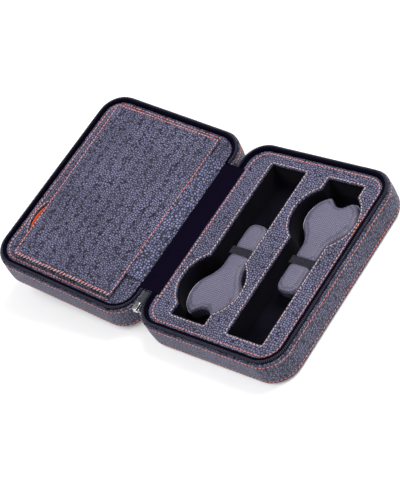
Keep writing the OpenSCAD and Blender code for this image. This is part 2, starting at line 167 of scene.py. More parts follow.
def rounded(u0, u1, y0, y1, r, per_arc=14, step=3.0, e=0.0, es=None, rest=None):
    """Rounded rectangle drawn in by e, and by es at its side u0: four quarter arcs joined by straight
    lines, anticlockwise from the corner (u1, y0). Its points keep their count for every e."""
    es = e if es is None else es
    nx = max(2, int((u1 - u0 - 2 * r) / step))
    ny = max(2, int((y1 - y0 - 2 * r) / step))
    u0, u1, y0, y1 = u0 + es, u1 - e, y0 + e, y1 - e
    r = max(r - e, 0.3)
    corners = [(u1 - r, y0 + r, -90), (u1 - r, y1 - r, 0), (u0 + r, y1 - r, 90), (u0 + r, y0 + r, 180)]
    parts = []
    for k, (cx, cy, a) in enumerate(corners):
        parts.append(arc(cx, cy, r, a, a + 90, per_arc))
        n = ny if k % 2 == 0 else nx
        nxt = corners[(k + 1) % 4]
        a_end = math.radians(a + 90)
        p = (cx + r * math.cos(a_end), cy + r * math.sin(a_end))
        q = (nxt[0] + r * math.cos(a_end), nxt[1] + r * math.sin(a_end))
        parts.append(line(p, q, n))
    return np.concatenate(parts)


def half_plan(e=0.0, es=None, **kw):
    """Outline of a half seen from above, drawn in by e, and by es at the spine."""
    return rounded(U_NEAR, U_FAR, -CASE_D / 2, CASE_D / 2, CORNER_R, e=e, es=es, **kw)


def keyhole(slot, e=0.0, straight=12, bay=26):
    """Outline of a slot grown by e: a long rectangle joined to a round bay. Where the circle meets the
    rectangle's sides is the bay's middle plus or minus the root of radius squared less half width
    squared. Anticlockwise from the corner at +u, -y; its points keep their count for every e."""
    u, s = slot
    w, h, r, c = SLOT_HALF_W + e, SLOT_HALF_L + e, BAY_R + e, SLOT_CORNER + max(e, -1.2)
    b = BAY_Y * s
    phi = math.degrees(math.acos(w / r))
    low, high = b - r * math.sin(math.radians(phi)), b + r * math.sin(math.radians(phi))
    parts = [
        arc(w - c, -h + c, c, -90, 0, 6), line((w, -h + c), (w, low), straight),
        arc(0, b, r, -phi, phi, bay), line((w, high), (w, h - c), straight),
        arc(w - c, h - c, c, 0, 90, 6), line((w - c, h), (-w + c, h), straight),
        arc(-w + c, h - c, c, 90, 180, 6), line((-w, h - c), (-w, high), straight),
        arc(0, b, r, 180 - phi, 180 + phi, bay), line((-w, low), (-w, -h + c), straight),
        arc(-w + c, -h + c, c, 180, 270, 6), line((-w + c, -h), (w - c, -h), straight)]
    return np.concatenate(parts) + [u, 0]


def unit(vectors):
    """Rows of vectors, each brought to length 1."""
    return vectors / np.linalg.norm(vectors, axis=1)[:, None]


def edge_normals(loop):
    """Outward unit normals of a closed anticlockwise outline."""
    t = np.roll(loop, -1, 0) - np.roll(loop, 1, 0)
    return unit(np.column_stack([t[:, 1], -t[:, 0]]))


def inset(loop, e):
    """A closed outline moved in by e along its normals."""
    return loop - edge_normals(loop) * e


def travelled(path):
    """Distance along a path up to each of its points."""
    return np.concatenate([[0], np.cumsum(np.linalg.norm(np.diff(path, axis=0), axis=1))])


def lift(outline, z):
    """A flat outline as points at height z, which may be one height or one for each point."""
    return np.column_stack([outline, np.broadcast_to(np.asarray(z, float), len(outline))])


def upright(section, y):
    """A section in x and z as points at one y."""
    return np.column_stack([section[:, 0], np.full(len(section), y), section[:, 1]])


# Meshes

def linked(name, data):
    """New object at the origin, linked to the scene."""
    obj = bpy.data.objects.new(name, data)
    bpy.context.scene.collection.objects.link(obj)
    return obj


def evaluated(obj):
    """Mesh of an object with its modifiers on."""
    graph = bpy.context.evaluated_depsgraph_get()
    return bpy.data.meshes.new_from_object(obj.evaluated_get(graph))


def vertices(mesh):
    """Rows of a mesh's vertex places."""
    at = np.zeros(len(mesh.vertices) * 3)
    mesh.vertices.foreach_get("co", at)
    return at.reshape(-1, 3)


def new_piece(name, points, faces, body, material, uv=None):
    """One mesh object at the origin from points in metres and faces, riding on a body."""
    mesh = bpy.data.meshes.new(name)
    mesh.from_pydata(np.asarray(points).tolist(), [], [list(map(int, f)) for f in faces])
    mesh.update()
    if uv is not None:
        layer = mesh.uv_layers.new(name="UVMap")
        loops = np.zeros(len(mesh.loops), int)
        mesh.loops.foreach_get("vertex_index", loops)
        layer.data.foreach_set("uv", np.asarray(uv, float)[loops].ravel())
    mesh.polygons.foreach_set("use_smooth", [True] * len(mesh.polygons))
    piece = linked(name, mesh)
    mesh.materials.append(material)
    if body:
        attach(piece, body)
    return piece


def outward(piece):
    """Turns every face of a closed mesh outwards."""
    bm = bmesh.new()
    bm.from_mesh(piece.data)
    bmesh.ops.remove_doubles(bm, verts=bm.verts, dist=1e-6)
    bmesh.ops.recalc_face_normals(bm, faces=bm.faces)
    bm.to_mesh(piece.data)
    bm.free()
    return piece


def loft_faces(rows, count, closed=True, offset=0, ring=False):
    """Quads between rows of count points each; the rows are closed rings or open lines. With ring, the
    last row also joins the first."""
    i = np.arange(count if closed else count - 1)
    j = (i + 1) % count
    quads = []
    for r in range(rows - 1):
        a, b = offset + r * count, offset + (r + 1) * count
        quads.append(np.stack([a + i, a + j, b + j, b + i], 1))
    if ring:
        quads.append(np.stack([b + i, b + j, offset + j, offset + i], 1))
    return np.concatenate(quads).tolist()


def end_caps(rows, count):
    """The faces that close the first and the last of the rows."""
    return [list(range(count))[::-1], [(rows - 1) * count + k for k in range(count)]]


def loft(name, rings, body, material, capped=True, closed=True, half=None):
    """Surface through rings of points in half coordinates, or in millimetres of the row frame where half
    is None, with flat caps where it is capped. Its UV runs along and across the rings, in metres."""
    count = len(rings[0])
    flat = np.concatenate(rings)
    points = place(flat, half) if half else flat * MM
    faces = loft_faces(len(rings), count, closed)
    if capped:
        faces += end_caps(len(rings), count)
    grid = points.reshape(len(rings), count, 3)
    along, across = travelled(grid[0]), travelled(grid[:, 0])
    uv = np.stack([np.tile(along, len(rings)), np.repeat(across, count)], 1)
    piece = new_piece(name, points, faces, body, material, uv)
    return outward(piece) if closed else piece


def tube(name, path, radius, body, material, sides=10, closed=True):
    """Round tube of a radius in mm along a path of points in metres. Each ring stands square to the
    path, on the two directions across it."""
    path = np.asarray(path, float)
    if closed:
        ahead, behind = np.roll(path, -1, 0), np.roll(path, 1, 0)
    else:
        ahead, behind = np.vstack([path[1:], path[-1:]]), np.vstack([path[:1], path[:-1]])
    t = unit(ahead - behind)
    side = unit(np.cross(t, [0, 0, 1.0]))
    up = np.cross(side, t)
    a = np.arange(sides) * 2 * math.pi / sides
    r = np.broadcast_to(np.asarray(radius, float) * MM, len(path))[:, None, None]
    rings = path[:, None] + r * (side[:, None] * np.cos(a)[:, None] + up[:, None] * np.sin(a)[:, None])
    faces = loft_faces(len(path), sides, ring=closed)
    if not closed:
        faces += end_caps(len(path), sides)
    return outward(new_piece(name, rings.reshape(-1, 3), faces, body, material))


def resample(path, step, closed=True):
    """Points every step or so along a path, with the tangent there, taken between 0.4 before and after."""
    path = np.asarray(path, float)
    if closed:
        path = np.vstack([path, path[:1]])
    s = travelled(path)
    n = max(2, int(round(s[-1] / step)))
    at = (np.arange(n) + 0.5) * s[-1] / n

    def there(distance):
        return np.stack([np.interp(distance, s, column) for column in path.T], 1)
    return there(at), unit(there(np.minimum(at + 0.4, s[-1])) - there(np.maximum(at - 0.4, 0)))


def stitches(name, runs, body, thread="thread", slant=0.10):
    """Row of thread stitches. Each run is (path, normals' direction, closed) in metres or a function of
    it: a stitch is a spindle of six sides, with radius times the root of 1 less its place along to the
    fourth, lying on the path and turned a few degrees across it."""
    sides, rings = 6, 7
    t = np.linspace(-1, 1, rings)
    swell = np.sqrt(np.clip(1 - t ** 4, 0.02, 1))
    a = np.arange(sides) * 2 * math.pi / sides
    points, faces, start = [], [], 0
    one = loft_faces(rings, sides) + end_caps(rings, sides)
    for path, normal, closed in runs:
        path = np.asarray(path) / MM
        centre, along = resample(path, STITCH_PITCH, closed)
        n = np.asarray(normal, float)
        if n.ndim == 1:
            n = np.broadcast_to(n, centre.shape)
        else:
            n = resample(np.hstack([path, n]), STITCH_PITCH, closed)[0][:, 3:]
        n = unit(n)
        lean = slant + LEAN_SPREAD * rng.standard_normal(len(centre))
        direction = unit(along + np.cross(n, along) * lean[:, None])
        across = np.cross(n, direction)
        half_len = STITCH_LEN / 2 * (1 + LENGTH_SPREAD * rng.standard_normal(len(centre)))
        spindles = (centre[:, None, None]
                    + direction[:, None, None] * (half_len[:, None] * t)[:, :, None, None]
                    + STITCH_R * swell[None, :, None, None] * (
                        across[:, None, None] * np.cos(a)[None, None, :, None]
                        + n[:, None, None] * (STITCH_FLAT * np.sin(a))[None, None, :, None])
                    + n[:, None, None] * (0.30 * swell - 0.18)[None, :, None, None])
        points.append(spindles.reshape(-1, 3) * MM)
        for at in range(start, start + len(centre) * rings * sides, rings * sides):
            faces.extend([[at + v for v in face] for face in one])
        start += len(centre) * rings * sides
    new_piece(name, np.concatenate(points), faces, body, MATERIAL[thread])


# Materials

def new_material(name, roughness, gloss=0.5, **sockets):
    """Material with one Principled shader; gloss is its specular level, and other sockets are set by name."""
    mat = bpy.data.materials.new(name)
    mat.use_nodes = True
    tree = mat.node_tree
    shader = tree.nodes["Principled BSDF"]
    shader.inputs["Roughness"].default_value = roughness
    shader.inputs["Specular IOR Level"].default_value = gloss
    for key, value in sockets.items():
        shader.inputs[key.replace("_", " ")].default_value = value
    return mat, tree, shader


def add(tree, kind, inputs=None, **settings):
    """One node. Its inputs are given by name or number, as values or as sockets to link from."""
    node = tree.nodes.new(kind)
    for key, value in settings.items():
        setattr(node, key, value)
    for key, value in (inputs or {}).items():
        if isinstance(value, bpy.types.NodeSocket):
            tree.links.new(value, node.inputs[key])
        else:
            node.inputs[key].default_value = value
    return node


def math_node(tree, operation, a, b=0.0, clamp=False):
    """One arithmetic node of two inputs."""
    return add(tree, "ShaderNodeMath", {0: a, 1: b}, operation=operation, use_clamp=clamp).outputs[0]


def ramp(tree, factor, low, high, a, b):
    """Factor between low and high, carried to the range from a to b with a smooth step."""
    node = add(tree, "ShaderNodeMapRange", {"Value": factor, "From Min": low, "From Max": high,
                                            "To Min": a, "To Max": b}, interpolation_type="SMOOTHSTEP")
    return node.outputs["Result"]


def blend_colours(tree, factor, a, b):
    """Colour a where the factor is 0 and b where it is 1."""
    node = add(tree, "ShaderNodeMix", {"Factor": factor}, data_type="RGBA")
    for key, colour in (("A", a), ("B", b)):
        socket = [s for s in node.inputs if s.name == key and s.type == "RGBA"][0]
        if isinstance(colour, bpy.types.NodeSocket):
            tree.links.new(colour, socket)
        else:
            socket.default_value = (*colour, 1)
    return [s for s in node.outputs if s.type == "RGBA"][0]


def feed(tree, shader, colours, height, depth, strength=1.0, roughness=None):
    """Links the shader's colour, a bump depth metres deep from a height between 0 and 1, and a roughness
    where it varies."""
    node = add(tree, "ShaderNodeBump", {"Height": height, "Distance": depth, "Strength": strength})
    tree.links.new(node.outputs["Normal"], shader.inputs["Normal"])
    tree.links.new(colours, shader.inputs["Base Color"])
    if roughness:
        tree.links.new(roughness, shader.inputs["Roughness"])


def product(tree, a, b):
    """Two factors multiplied."""
    return math_node(tree, "MULTIPLY", a, b)


def noise(tree, at, scale, detail):
    """Cloudy factor with scale waves to the metre."""
    settings = {"Vector": at, "Scale": scale, "Detail": detail}
    return add(tree, "ShaderNodeTexNoise", settings).outputs["Fac"]


def object_coords(tree):
    """Place in the object's own coordinates, which are the row frame's."""
    return add(tree, "ShaderNodeTexCoord").outputs["Object"]


def surface_coords(tree):
    """Place along and across a lofted surface, in metres."""
    return add(tree, "ShaderNodeUVMap", uv_map="UVMap").outputs["UV"]


def grained_leather(name, high, low, cell, depth, roughness, jitter=0.75, gloss=0.2):
    """Leather with a pebbled grain: domed cells, cell metres across, over a slow change of tone and a tone of
    each cell's own. Its colour falls from high to low in the creases between the cells, a painted shade,
    and is lightest on the cells' middles, a painted highlight. A second, coarser net of wrinkles deepens
    some of the creases, in height and in painted shade."""
    mat, tree, shader = new_material(name, roughness, gloss)
    coords = object_coords(tree)
    wobble = add(tree, "ShaderNodeTexNoise", {"Vector": coords, "Scale": 0.35 / cell, "Detail": 2.0})
    drift = add(tree, "ShaderNodeVectorMath", {0: wobble.outputs["Color"], 1: (0.5, 0.5, 0.5)},
                operation="SUBTRACT")
    step = add(tree, "ShaderNodeVectorMath", {0: drift.outputs[0], "Scale": cell * 0.6}, operation="SCALE")
    moved = add(tree, "ShaderNodeVectorMath", {0: coords, 1: step.outputs[0]}, operation="ADD").outputs[0]
    settings = {"Vector": moved, "Scale": 1 / cell, "Randomness": jitter}
    edge = add(tree, "ShaderNodeTexVoronoi", settings, feature="DISTANCE_TO_EDGE").outputs["Distance"]
    cells = add(tree, "ShaderNodeTexVoronoi", settings, feature="F1")
    wrinkle = add(tree, "ShaderNodeTexVoronoi", {"Vector": moved, "Scale": 0.31 / cell},
                  feature="DISTANCE_TO_EDGE").outputs["Distance"]
    tooth = noise(tree, coords, 4.5 / cell, 3.0)
    crease = ramp(tree, edge, 0.0, 0.22, 0.0, 1.0)
    top = ramp(tree, cells.outputs["Distance"], 0.05, 0.60, 1.0, 0.0)
    fold = ramp(tree, wrinkle, 0.0, 0.08, 0.90, 1.0)
    height = math_node(tree, "ADD", product(tree, crease, 0.55), product(tree, top, 0.45))
    height = math_node(tree, "ADD", product(tree, height, fold), product(tree, tooth, 0.06))
    own = add(tree, "ShaderNodeSeparateColor", {"Color": cells.outputs["Color"]}).outputs["Red"]
    slow = ramp(tree, noise(tree, coords, 22.0, 3.0), 0.35, 0.65, 0.86, 1.10)
    # Painted shade and highlight: the share of the high colour is cut down in the creases and wrinkles and
    # raised on the cells' middles; own and slow are the leather's own changes of tone.
    share = product(tree, product(tree, crease, fold),
                    product(tree, ramp(tree, own, 0.0, 1.0, 0.84, 1.0), slow))
    share = math_node(tree, "MULTIPLY", share, ramp(tree, top, 0.0, 0.6, 0.60, 1.0), clamp=True)
    feed(tree, shader, blend_colours(tree, share, low, high), height, depth,
         roughness=ramp(tree, tooth, 0.3, 0.7, roughness - 0.06, roughness + 0.10))
    return mat


def woven(name, colour, light, pitch, depth, roughness, sheen=0.0, coords=surface_coords):
    """Cloth of crossing threads pitch metres apart: two sine waves along and across the piece, of which
    the higher one shows, with thread-to-thread changes of tone."""
    mat, tree, shader = new_material(name, roughness, 0.02, Sheen_Weight=sheen, Sheen_Roughness=0.45)
    at = coords(tree)
    waves = []
    for direction in ("X", "Y"):
        wave = add(tree, "ShaderNodeTexWave", {"Vector": at, "Scale": math.pi / 10 / pitch,
                                               "Distortion": 0.6, "Detail": 1.0, "Detail Scale": 2.0},
                   wave_type="BANDS", bands_direction=direction)
        waves.append(wave.outputs["Fac"])
    fuzz = noise(tree, at, 0.6 / pitch, 4.0)
    feed(tree, shader, blend_colours(tree, ramp(tree, fuzz, 0.3, 0.75, 0.0, 1.0), colour, light),
         math_node(tree, "MAXIMUM", *waves), depth,
         roughness=ramp(tree, fuzz, 0.2, 0.8, roughness - 0.05, min(1, roughness + 0.05)))
    return mat


def pile(name, colour, light, sheen=0.02):
    """Short velvet pile: soft clouds of brushed nap over fine noise, with a sheen."""
    mat, tree, shader = new_material(name, 0.9, 0.03, Sheen_Weight=sheen, Sheen_Roughness=0.5)
    coords = object_coords(tree)
    hair = noise(tree, coords, 2600.0, 2.0)
    both = math_node(tree, "ADD", product(tree, noise(tree, coords, 60.0, 3.0), 0.6),
                     product(tree, hair, 0.4))
    feed(tree, shader, blend_colours(tree, ramp(tree, both, 0.35, 0.65, 0.0, 1.0), colour, light),
         hair, 0.0002, 0.6)
    return mat


def twisted_thread(name, colour, shade, second_tone):
    """Waxed thread: mottled by its plies, which take the darker shade colour where they dip, a painted
    shade, and paler along some stretches than along others, a painted highlight.
    """
    mat, tree, shader = new_material(name, 0.5, 0.3)
    coords = object_coords(tree)
    ply = noise(tree, coords, 1500.0, 1.0)
    slow = ramp(tree, noise(tree, coords, 70.0, 2.0), 0.40, 0.62, 0.0, 1.0)
    base = blend_colours(tree, slow, colour, second_tone)
    feed(tree, shader, blend_colours(tree, ramp(tree, ply, 0.25, 0.6, 0.0, 1.0), shade, base),
         ply, 0.00015, 0.7)
    return mat


def plated(name, colour, roughness):
    """Polished plate with faint rubbed streaks that change its gloss."""
    mat, tree, shader = new_material(name, roughness, Metallic=1.0)
    rub = noise(tree, object_coords(tree), 420.0, 4.0)
    second_tone = [c * 0.82 for c in colour]
    feed(tree, shader, blend_colours(tree, ramp(tree, rub, 0.25, 0.6, 0.0, 1.0), second_tone, colour),
         rub, 0.00004, 0.4, ramp(tree, rub, 0.3, 0.7, roughness - 0.06, roughness + 0.12))
    return mat


def plain_grain(name, colour, light, scale, depth, roughness, gloss=0.3):
    """Even material with a fine mottle, such as moulded nylon or pressed board."""
    mat, tree, shader = new_material(name, roughness, gloss)
    mottle = noise(tree, object_coords(tree), scale, 4.0)
    feed(tree, shader, blend_colours(tree, ramp(tree, mottle, 0.3, 0.7, 0.0, 1.0), colour, light),
         mottle, depth, 0.6, ramp(tree, mottle, 0.3, 0.7, roughness - 0.05, roughness + 0.08))
    return mat


MATERIAL = {
    # The low colours of the grained leathers are the painted shade of their creases.
    "leather": grained_leather("pebbled_leather", (0.148, 0.144, 0.235), (0.003, 0.003, 0.010),
                               0.0020, 0.0006, 0.42),
    # Lighter, bluer copy of the pebbled leather with a coarser grain: the coarser grain is the strip's own,
    # the lighter colour is a painted highlight for the strip's slope towards the lamps.
    "strip_leather_painted_highlight": grained_leather("strip_leather_painted_highlight", (0.165, 0.168, 0.29), (0.003, 0.003, 0.010),
                                     0.0023, 0.0008, 0.40),
    "pad_leather": grained_leather("pad_leather", (0.135, 0.127, 0.182), (0.055, 0.051, 0.080),
                                   0.0017, 0.00012, 0.45, jitter=0.2),
    # Darker copy of the pad leather for the pads' sides: a painted shade for the shade down in the wells.
    "pad_painted_shade": grained_leather("pad_leather_painted_shade", (0.05, 0.046, 0.075), (0.012, 0.011, 0.02),
                                0.0017, 0.00012, 0.5, jitter=0.2),
    "piping": plain_grain("piping_leather", (0.20, 0.19, 0.25), (0.32, 0.30, 0.37), 900.0, 0.00008, 0.45),
    "cloth": woven("lining_twill", (0.0012, 0.0007, 0.0040), (0.0036, 0.0022, 0.0095), 0.0006, 0.00010, 0.85),
    "cloth_object": woven("flap_twill", (0.004, 0.004, 0.008), (0.011, 0.011, 0.020), 0.0006, 0.00010, 0.80,
                          sheen=0.10, coords=object_coords),
    "tape": woven("zip_tape_weave", (0.004, 0.004, 0.010), (0.010, 0.010, 0.022), 0.0007, 0.00014, 0.75,
                  sheen=0.02),
    "chain": woven("zip_chain_weave", (0.022, 0.027, 0.029), (0.048, 0.054, 0.056), 0.0007, 0.00014, 0.6,
                   sheen=0.05, coords=object_coords),
    "velvet": pile("black_velvet", (0.0010, 0.0008, 0.0022), (0.003, 0.0027, 0.006)),
    "orange_velvet": pile("orange_velvet", (0.50, 0.050, 0.010), (0.72, 0.095, 0.022), sheen=0.1),
    "elastic": woven("ribbed_elastic", (0.010, 0.010, 0.014), (0.035, 0.034, 0.045), 0.0005, 0.00010, 0.60),
    "coil": plain_grain("nylon_coil", (0.012, 0.012, 0.024), (0.030, 0.031, 0.050), 900.0, 0.00005, 0.32),
    # Each thread has its own colour, a darker painted shade for the dips between its plies, and a paler
    # painted highlight along some stretches.
    "thread": twisted_thread("coral_thread", (0.80, 0.22, 0.15), (0.34, 0.08, 0.06), (0.66, 0.34, 0.26)),
    "pale_thread": twisted_thread("pale_thread", (0.62, 0.40, 0.32), (0.28, 0.15, 0.12), (0.50, 0.42, 0.40)),
    "metal": plated("nickel_plate", (0.62, 0.62, 0.64), 0.22),
    "card": plain_grain("fibre_board", (0.16, 0.12, 0.085), (0.24, 0.19, 0.14), 700.0, 0.0001, 0.85),
}


# Covered boards: the trays and the flap

def cover_faces(loops, spacing, inside):
    """Flat triangulation between closed loops of 2D points: a Delaunay net held to the loops, with a
    grid of points spacing apart between them, of which the triangles whose middle inside() keeps stay.
    Returns the added grid points and triangles over loops' points followed by the grid's."""
    edge_points = np.concatenate(loops)
    lo, hi = edge_points.min(0), edge_points.max(0)
    gx = np.arange(lo[0] + spacing / 2, hi[0], spacing)
    gy = np.arange(lo[1] + spacing / 2, hi[1], spacing)
    grid = np.stack(np.meshgrid(gx, gy), -1).reshape(-1, 2)
    gap = np.min([np.min(np.hypot(*(grid[:, None] - loop[None]).transpose(2, 0, 1)), 1)
                  for loop in loops], 0)
    grid = grid[(gap > spacing * 0.45) & inside(grid)]
    points = np.vstack([edge_points, grid])
    edges, at = [], 0
    for loop in loops:
        n = len(loop)
        edges += [(at + k, at + (k + 1) % n) for k in range(n)]
        at += n
    verts, _, faces, origin, _, _ = delaunay_2d_cdt([Vector(p) for p in points], edges, [], 0, 1e-4)
    index = [o[0] if o else -1 for o in origin]
    flat = np.array([[v.x, v.y] for v in verts])
    kept = [f for f in faces if inside(flat[list(f)].mean(0)[None])[0]]
    return grid, [[index[v] for v in f] for f in kept if all(index[v] >= 0 for v in f)]


def within(points, loop):
    """True for each point inside a closed loop, by the count of edges crossed on the way to +x."""
    x, y = points[:, 0, None], points[:, 1, None]
    a, b = loop, np.roll(loop, -1, 0)
    cross = (a[None, :, 1] > y) != (b[None, :, 1] > y)
    run, rise = (b - a).T
    with np.errstate(divide="ignore", invalid="ignore"):
        at = a[None, :, 0] + (y - a[None, :, 1]) * run / rise
    return (np.sum(cross & (x < at), 1) % 2) == 1


def covered_board(name, outer, holes, z_low, z_top, half, body, material, warp, spacing=4.0,
                  outer_lip=(), hole_lip=()):
    """Board wrapped in leather. outer(e) and each holes[k](e) give an outline drawn in, or grown, by e.
    Each lip is a list of (e, height against the top) rings from the underside to the flat of the top.
    warp(points) adds a height to every point from its place."""
    rings, faces, start = [], [], 0
    top_loops, top_starts, low_loops, low_starts = [], [], [], []
    for outline, lip, flip in [(outer, outer_lip, False)] + [(h, hole_lip, True) for h in holes]:
        rows = [lift(outline(lip[0][0]), z_low)] + [lift(outline(e), z_top + dz) for e, dz in lip]
        n = len(rows[0])
        side = np.array(loft_faces(len(rows), n, True, start))
        faces += (side[:, ::-1] if flip else side).tolist()
        low_loops.append(rows[0][:, :2])
        low_starts.append(start)
        top_loops.append(rows[-1][:, :2])
        top_starts.append(start + (len(rows) - 1) * n)
        rings += rows
        start += len(rows) * n
    points = np.concatenate(rings)
    for loops, starts, z, turn, gap in ((top_loops, top_starts, z_top + outer_lip[-1][1], False, spacing),
                                        (low_loops, low_starts, z_low, True, spacing * 3)):
        def inside(p, loops=loops):
            keep = within(p, loops[0])
            for loop in loops[1:]:
                keep &= ~within(p, loop)
            return keep
        grid, net = cover_faces(loops, gap, inside)
        index = np.concatenate([s + np.arange(len(l)) for s, l in zip(starts, loops)]
                               + [len(points) + np.arange(len(grid))]).astype(int)
        points = np.vstack([points, lift(grid, z)])
        net = [[int(index[v]) for v in f] for f in net]
        faces += [f[::-1] for f in net] if turn else net
    points[:, 2] += warp(points)
    return outward(new_piece(name, place(points, half), faces, body, material))


# One half

def u_path(e, es, per_arc=16, step=2.5):
    """Open outline of a half drawn in by e, and by es at the spine, from the end of the rim at the
    spine in front, round the three other sides, to its end at the back."""
    full = half_plan(e, es, per_arc=per_arc, step=step)
    nx = max(2, int((U_FAR - U_NEAR - 2 * CORNER_R) / step))
    ny = max(2, int((CASE_D - 2 * CORNER_R) / step))
    spine_start = 3 * per_arc + nx + ny
    front, back = full[spine_start + ny:], full[:spine_start]
    x = U_NEAR + es
    lead = line((x, -TAIL_Y), front[0], 3)
    tail = line(back[-1], (x, TAIL_Y), 3)[1:]
    return np.vstack([lead, front, back, tail, [[x, TAIL_Y]]])


def rim_sweep(name, profile, half, material):
    """Closed profile of (e, es, z) points carried along the rim's open path, with both ends closed."""
    rows = np.stack([lift(u_path(e, es), z) for e, es, z in profile])
    return loft(name, list(rows.transpose(1, 0, 2)), half, material, half=half)


def profile_arc(e, z, r, a0, a1, n, spine=0.0):
    """Points (e, es, z) on a circle in a rim's profile."""
    a = np.radians(np.linspace(a0, a1, n))
    return [(e + r * math.cos(k), e + spine + r * math.cos(k), z + r * math.sin(k)) for k in a]


LOW_SEAM = 4.6
HIGH_SEAM = WALL_TOP - 2.7
COIL_PITCH = 1.5
WIRE_R = 0.36
CORD_R = 0.55


def make_skin(half):
    """Leather skin: flat underside, quarter-round edge, wall that swells by a sine between its two seams
    and dips by a bell curve at each, and an edge folded in over the board."""
    def wall(z):
        dip = sum(SEAM_DEEP * math.exp(-((z - s) / 0.55) ** 2) for s in (LOW_SEAM, HIGH_SEAM))
        t = (z - LOW_SEAM) / (HIGH_SEAM - LOW_SEAM)
        return dip - 0.35 * math.sin(math.pi * t) * (0 < t < 1)
    fold_r, fold_up = 0.9, 0.15
    profile = [(14, 0.0), (BOTTOM_R, 0.0)]
    profile += [(BOTTOM_R * (1 - math.sin(a)), BOTTOM_R * (1 - math.cos(a)))
                for a in np.linspace(0, math.pi / 2, 9)[1:-1]]
    heights = np.concatenate([np.linspace(BOTTOM_R, LOW_SEAM + 1.2, 7),
                              np.linspace(LOW_SEAM + 2, HIGH_SEAM - 2, 9),
                              np.linspace(HIGH_SEAM - 1.2, WALL_TOP - fold_r, 9)])
    profile += [(wall(z), z) for z in heights]
    top = WALL_TOP + fold_up
    profile += [(fold_r * (1 - math.cos(a)), top - fold_r * (1 - math.sin(a)))
                for a in np.linspace(0, math.pi / 2, 7)[1:]]
    profile += [(WALL_T - 0.05, top - 0.1), (WALL_T - 0.05, top - 2.5), (1.1, top - 2.6), (1.1, 1.2),
                (14, 1.2)]
    rings = [lift(half_plan(e), z) for e, z in profile]
    piece = loft(f"{half}_leather_skin", rings, half, MATERIAL["leather"], half=half)
    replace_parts(piece, f"{half}_skin")
    fine = half_plan(SEAM_DEEP - 0.12, step=1.0, per_arc=30)
    normal = lift(edge_normals(fine), 0)
    keep = ~((np.abs(fine[:, 1]) < TAIL_Y + 4) & (fine[:, 0] < U_NEAR + 4))
    order = np.roll(np.arange(len(fine)), -int(np.argmax(~keep)))
    order = order[keep[order]]
    runs = []
    for z in (LOW_SEAM, HIGH_SEAM):
        path = place(lift(fine, z), half)
        n = place(lift(fine, z) + normal, half) - path
        runs.append((path[order], n[order], False))
    stitches(f"{half}_wall_stitching", runs, half)


def make_rim(half):
    """The rim: a flat tape, a cloth-covered wall whose welt is part of a circle, and the zip's coil, a
    helix of wire round a cord."""
    tape = [(2.45, 21.5), (2.45, 27.6), (2.6, 28.1), (3.0, 28.1), (3.15, 27.6), (3.15, 21.5)]
    tape = rim_sweep(f"{half}_tape", [(e, e, z) for e, z in tape], half, MATERIAL["tape"])
    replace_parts(tape, f"{half}_zip_tape")
    welt_r, welt_e = 0.85, 4.3 + 0.85
    spine = SPINE_RIM - RIM_W
    low, inner = 22.0, RIM_W - 0.05
    profile = [(4.3, 4.3, low), (4.3, 4.3, RIM_TOP - 1.4)]
    profile += profile_arc(welt_e, RIM_TOP - 1.1, welt_r, 180, 20, 9)
    profile += [(welt_e + 0.62, welt_e + 0.62, RIM_TOP - 1.55), (inner, welt_e + spine * 0.5, RIM_TOP - 2.0),
                (inner, inner + spine, RIM_TOP - 2.6), (inner, inner + spine, low)]
    welt = rim_sweep(f"{half}_welt", profile, half, MATERIAL["cloth"])
    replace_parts(welt, f"{half}_lining")
    path = u_path(COIL_IN, COIL_IN, per_arc=40, step=1.0)
    path = lift(path, RIM_TOP - COIL_R)
    smooth, _ = resample(path, 0.125, False)
    side = np.cross(unit(np.gradient(smooth, axis=0)), [0, 0, 1.0])
    turn = 2 * math.pi * travelled(smooth)[:, None] / COIL_PITCH
    helix = smooth + (COIL_R - WIRE_R) * (side * np.cos(turn) + np.array([0, 0, 1.0]) * np.sin(turn))
    coil = tube(f"{half}_coil", place(helix, half), WIRE_R, half, MATERIAL["coil"], 6, False)
    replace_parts(coil, f"{half}_zip_coil")
    core, _ = resample(path, 1.5, False)
    tube(f"{half}_coil_cord", place(core, half), CORD_R, half, MATERIAL["tape"], 8, False)


TRAY_SEAM = 2.8
SLOT_SEAM = 1.35
SPINE_SEAM = 1.3
SPINE_CLOTH = 12.0
TRAY_R = CORNER_R - RIM_W - 0.3


def tray_outline(e, es):
    """Outline of the tray drawn in by e, and by es at the spine."""
    return rounded(TRAY_NEAR, TRAY_FAR, tray_lo[1], tray_hi[1], TRAY_R, e=e, es=es)


def slow_swell(points, amount=0.22):
    """Gentle unevenness of leather over board: two crossed sines some 40 mm long."""
    return amount * np.sin(points[:, 0] / 7.3 + 0.4) * np.sin(points[:, 1] / 9.1) * 0.5


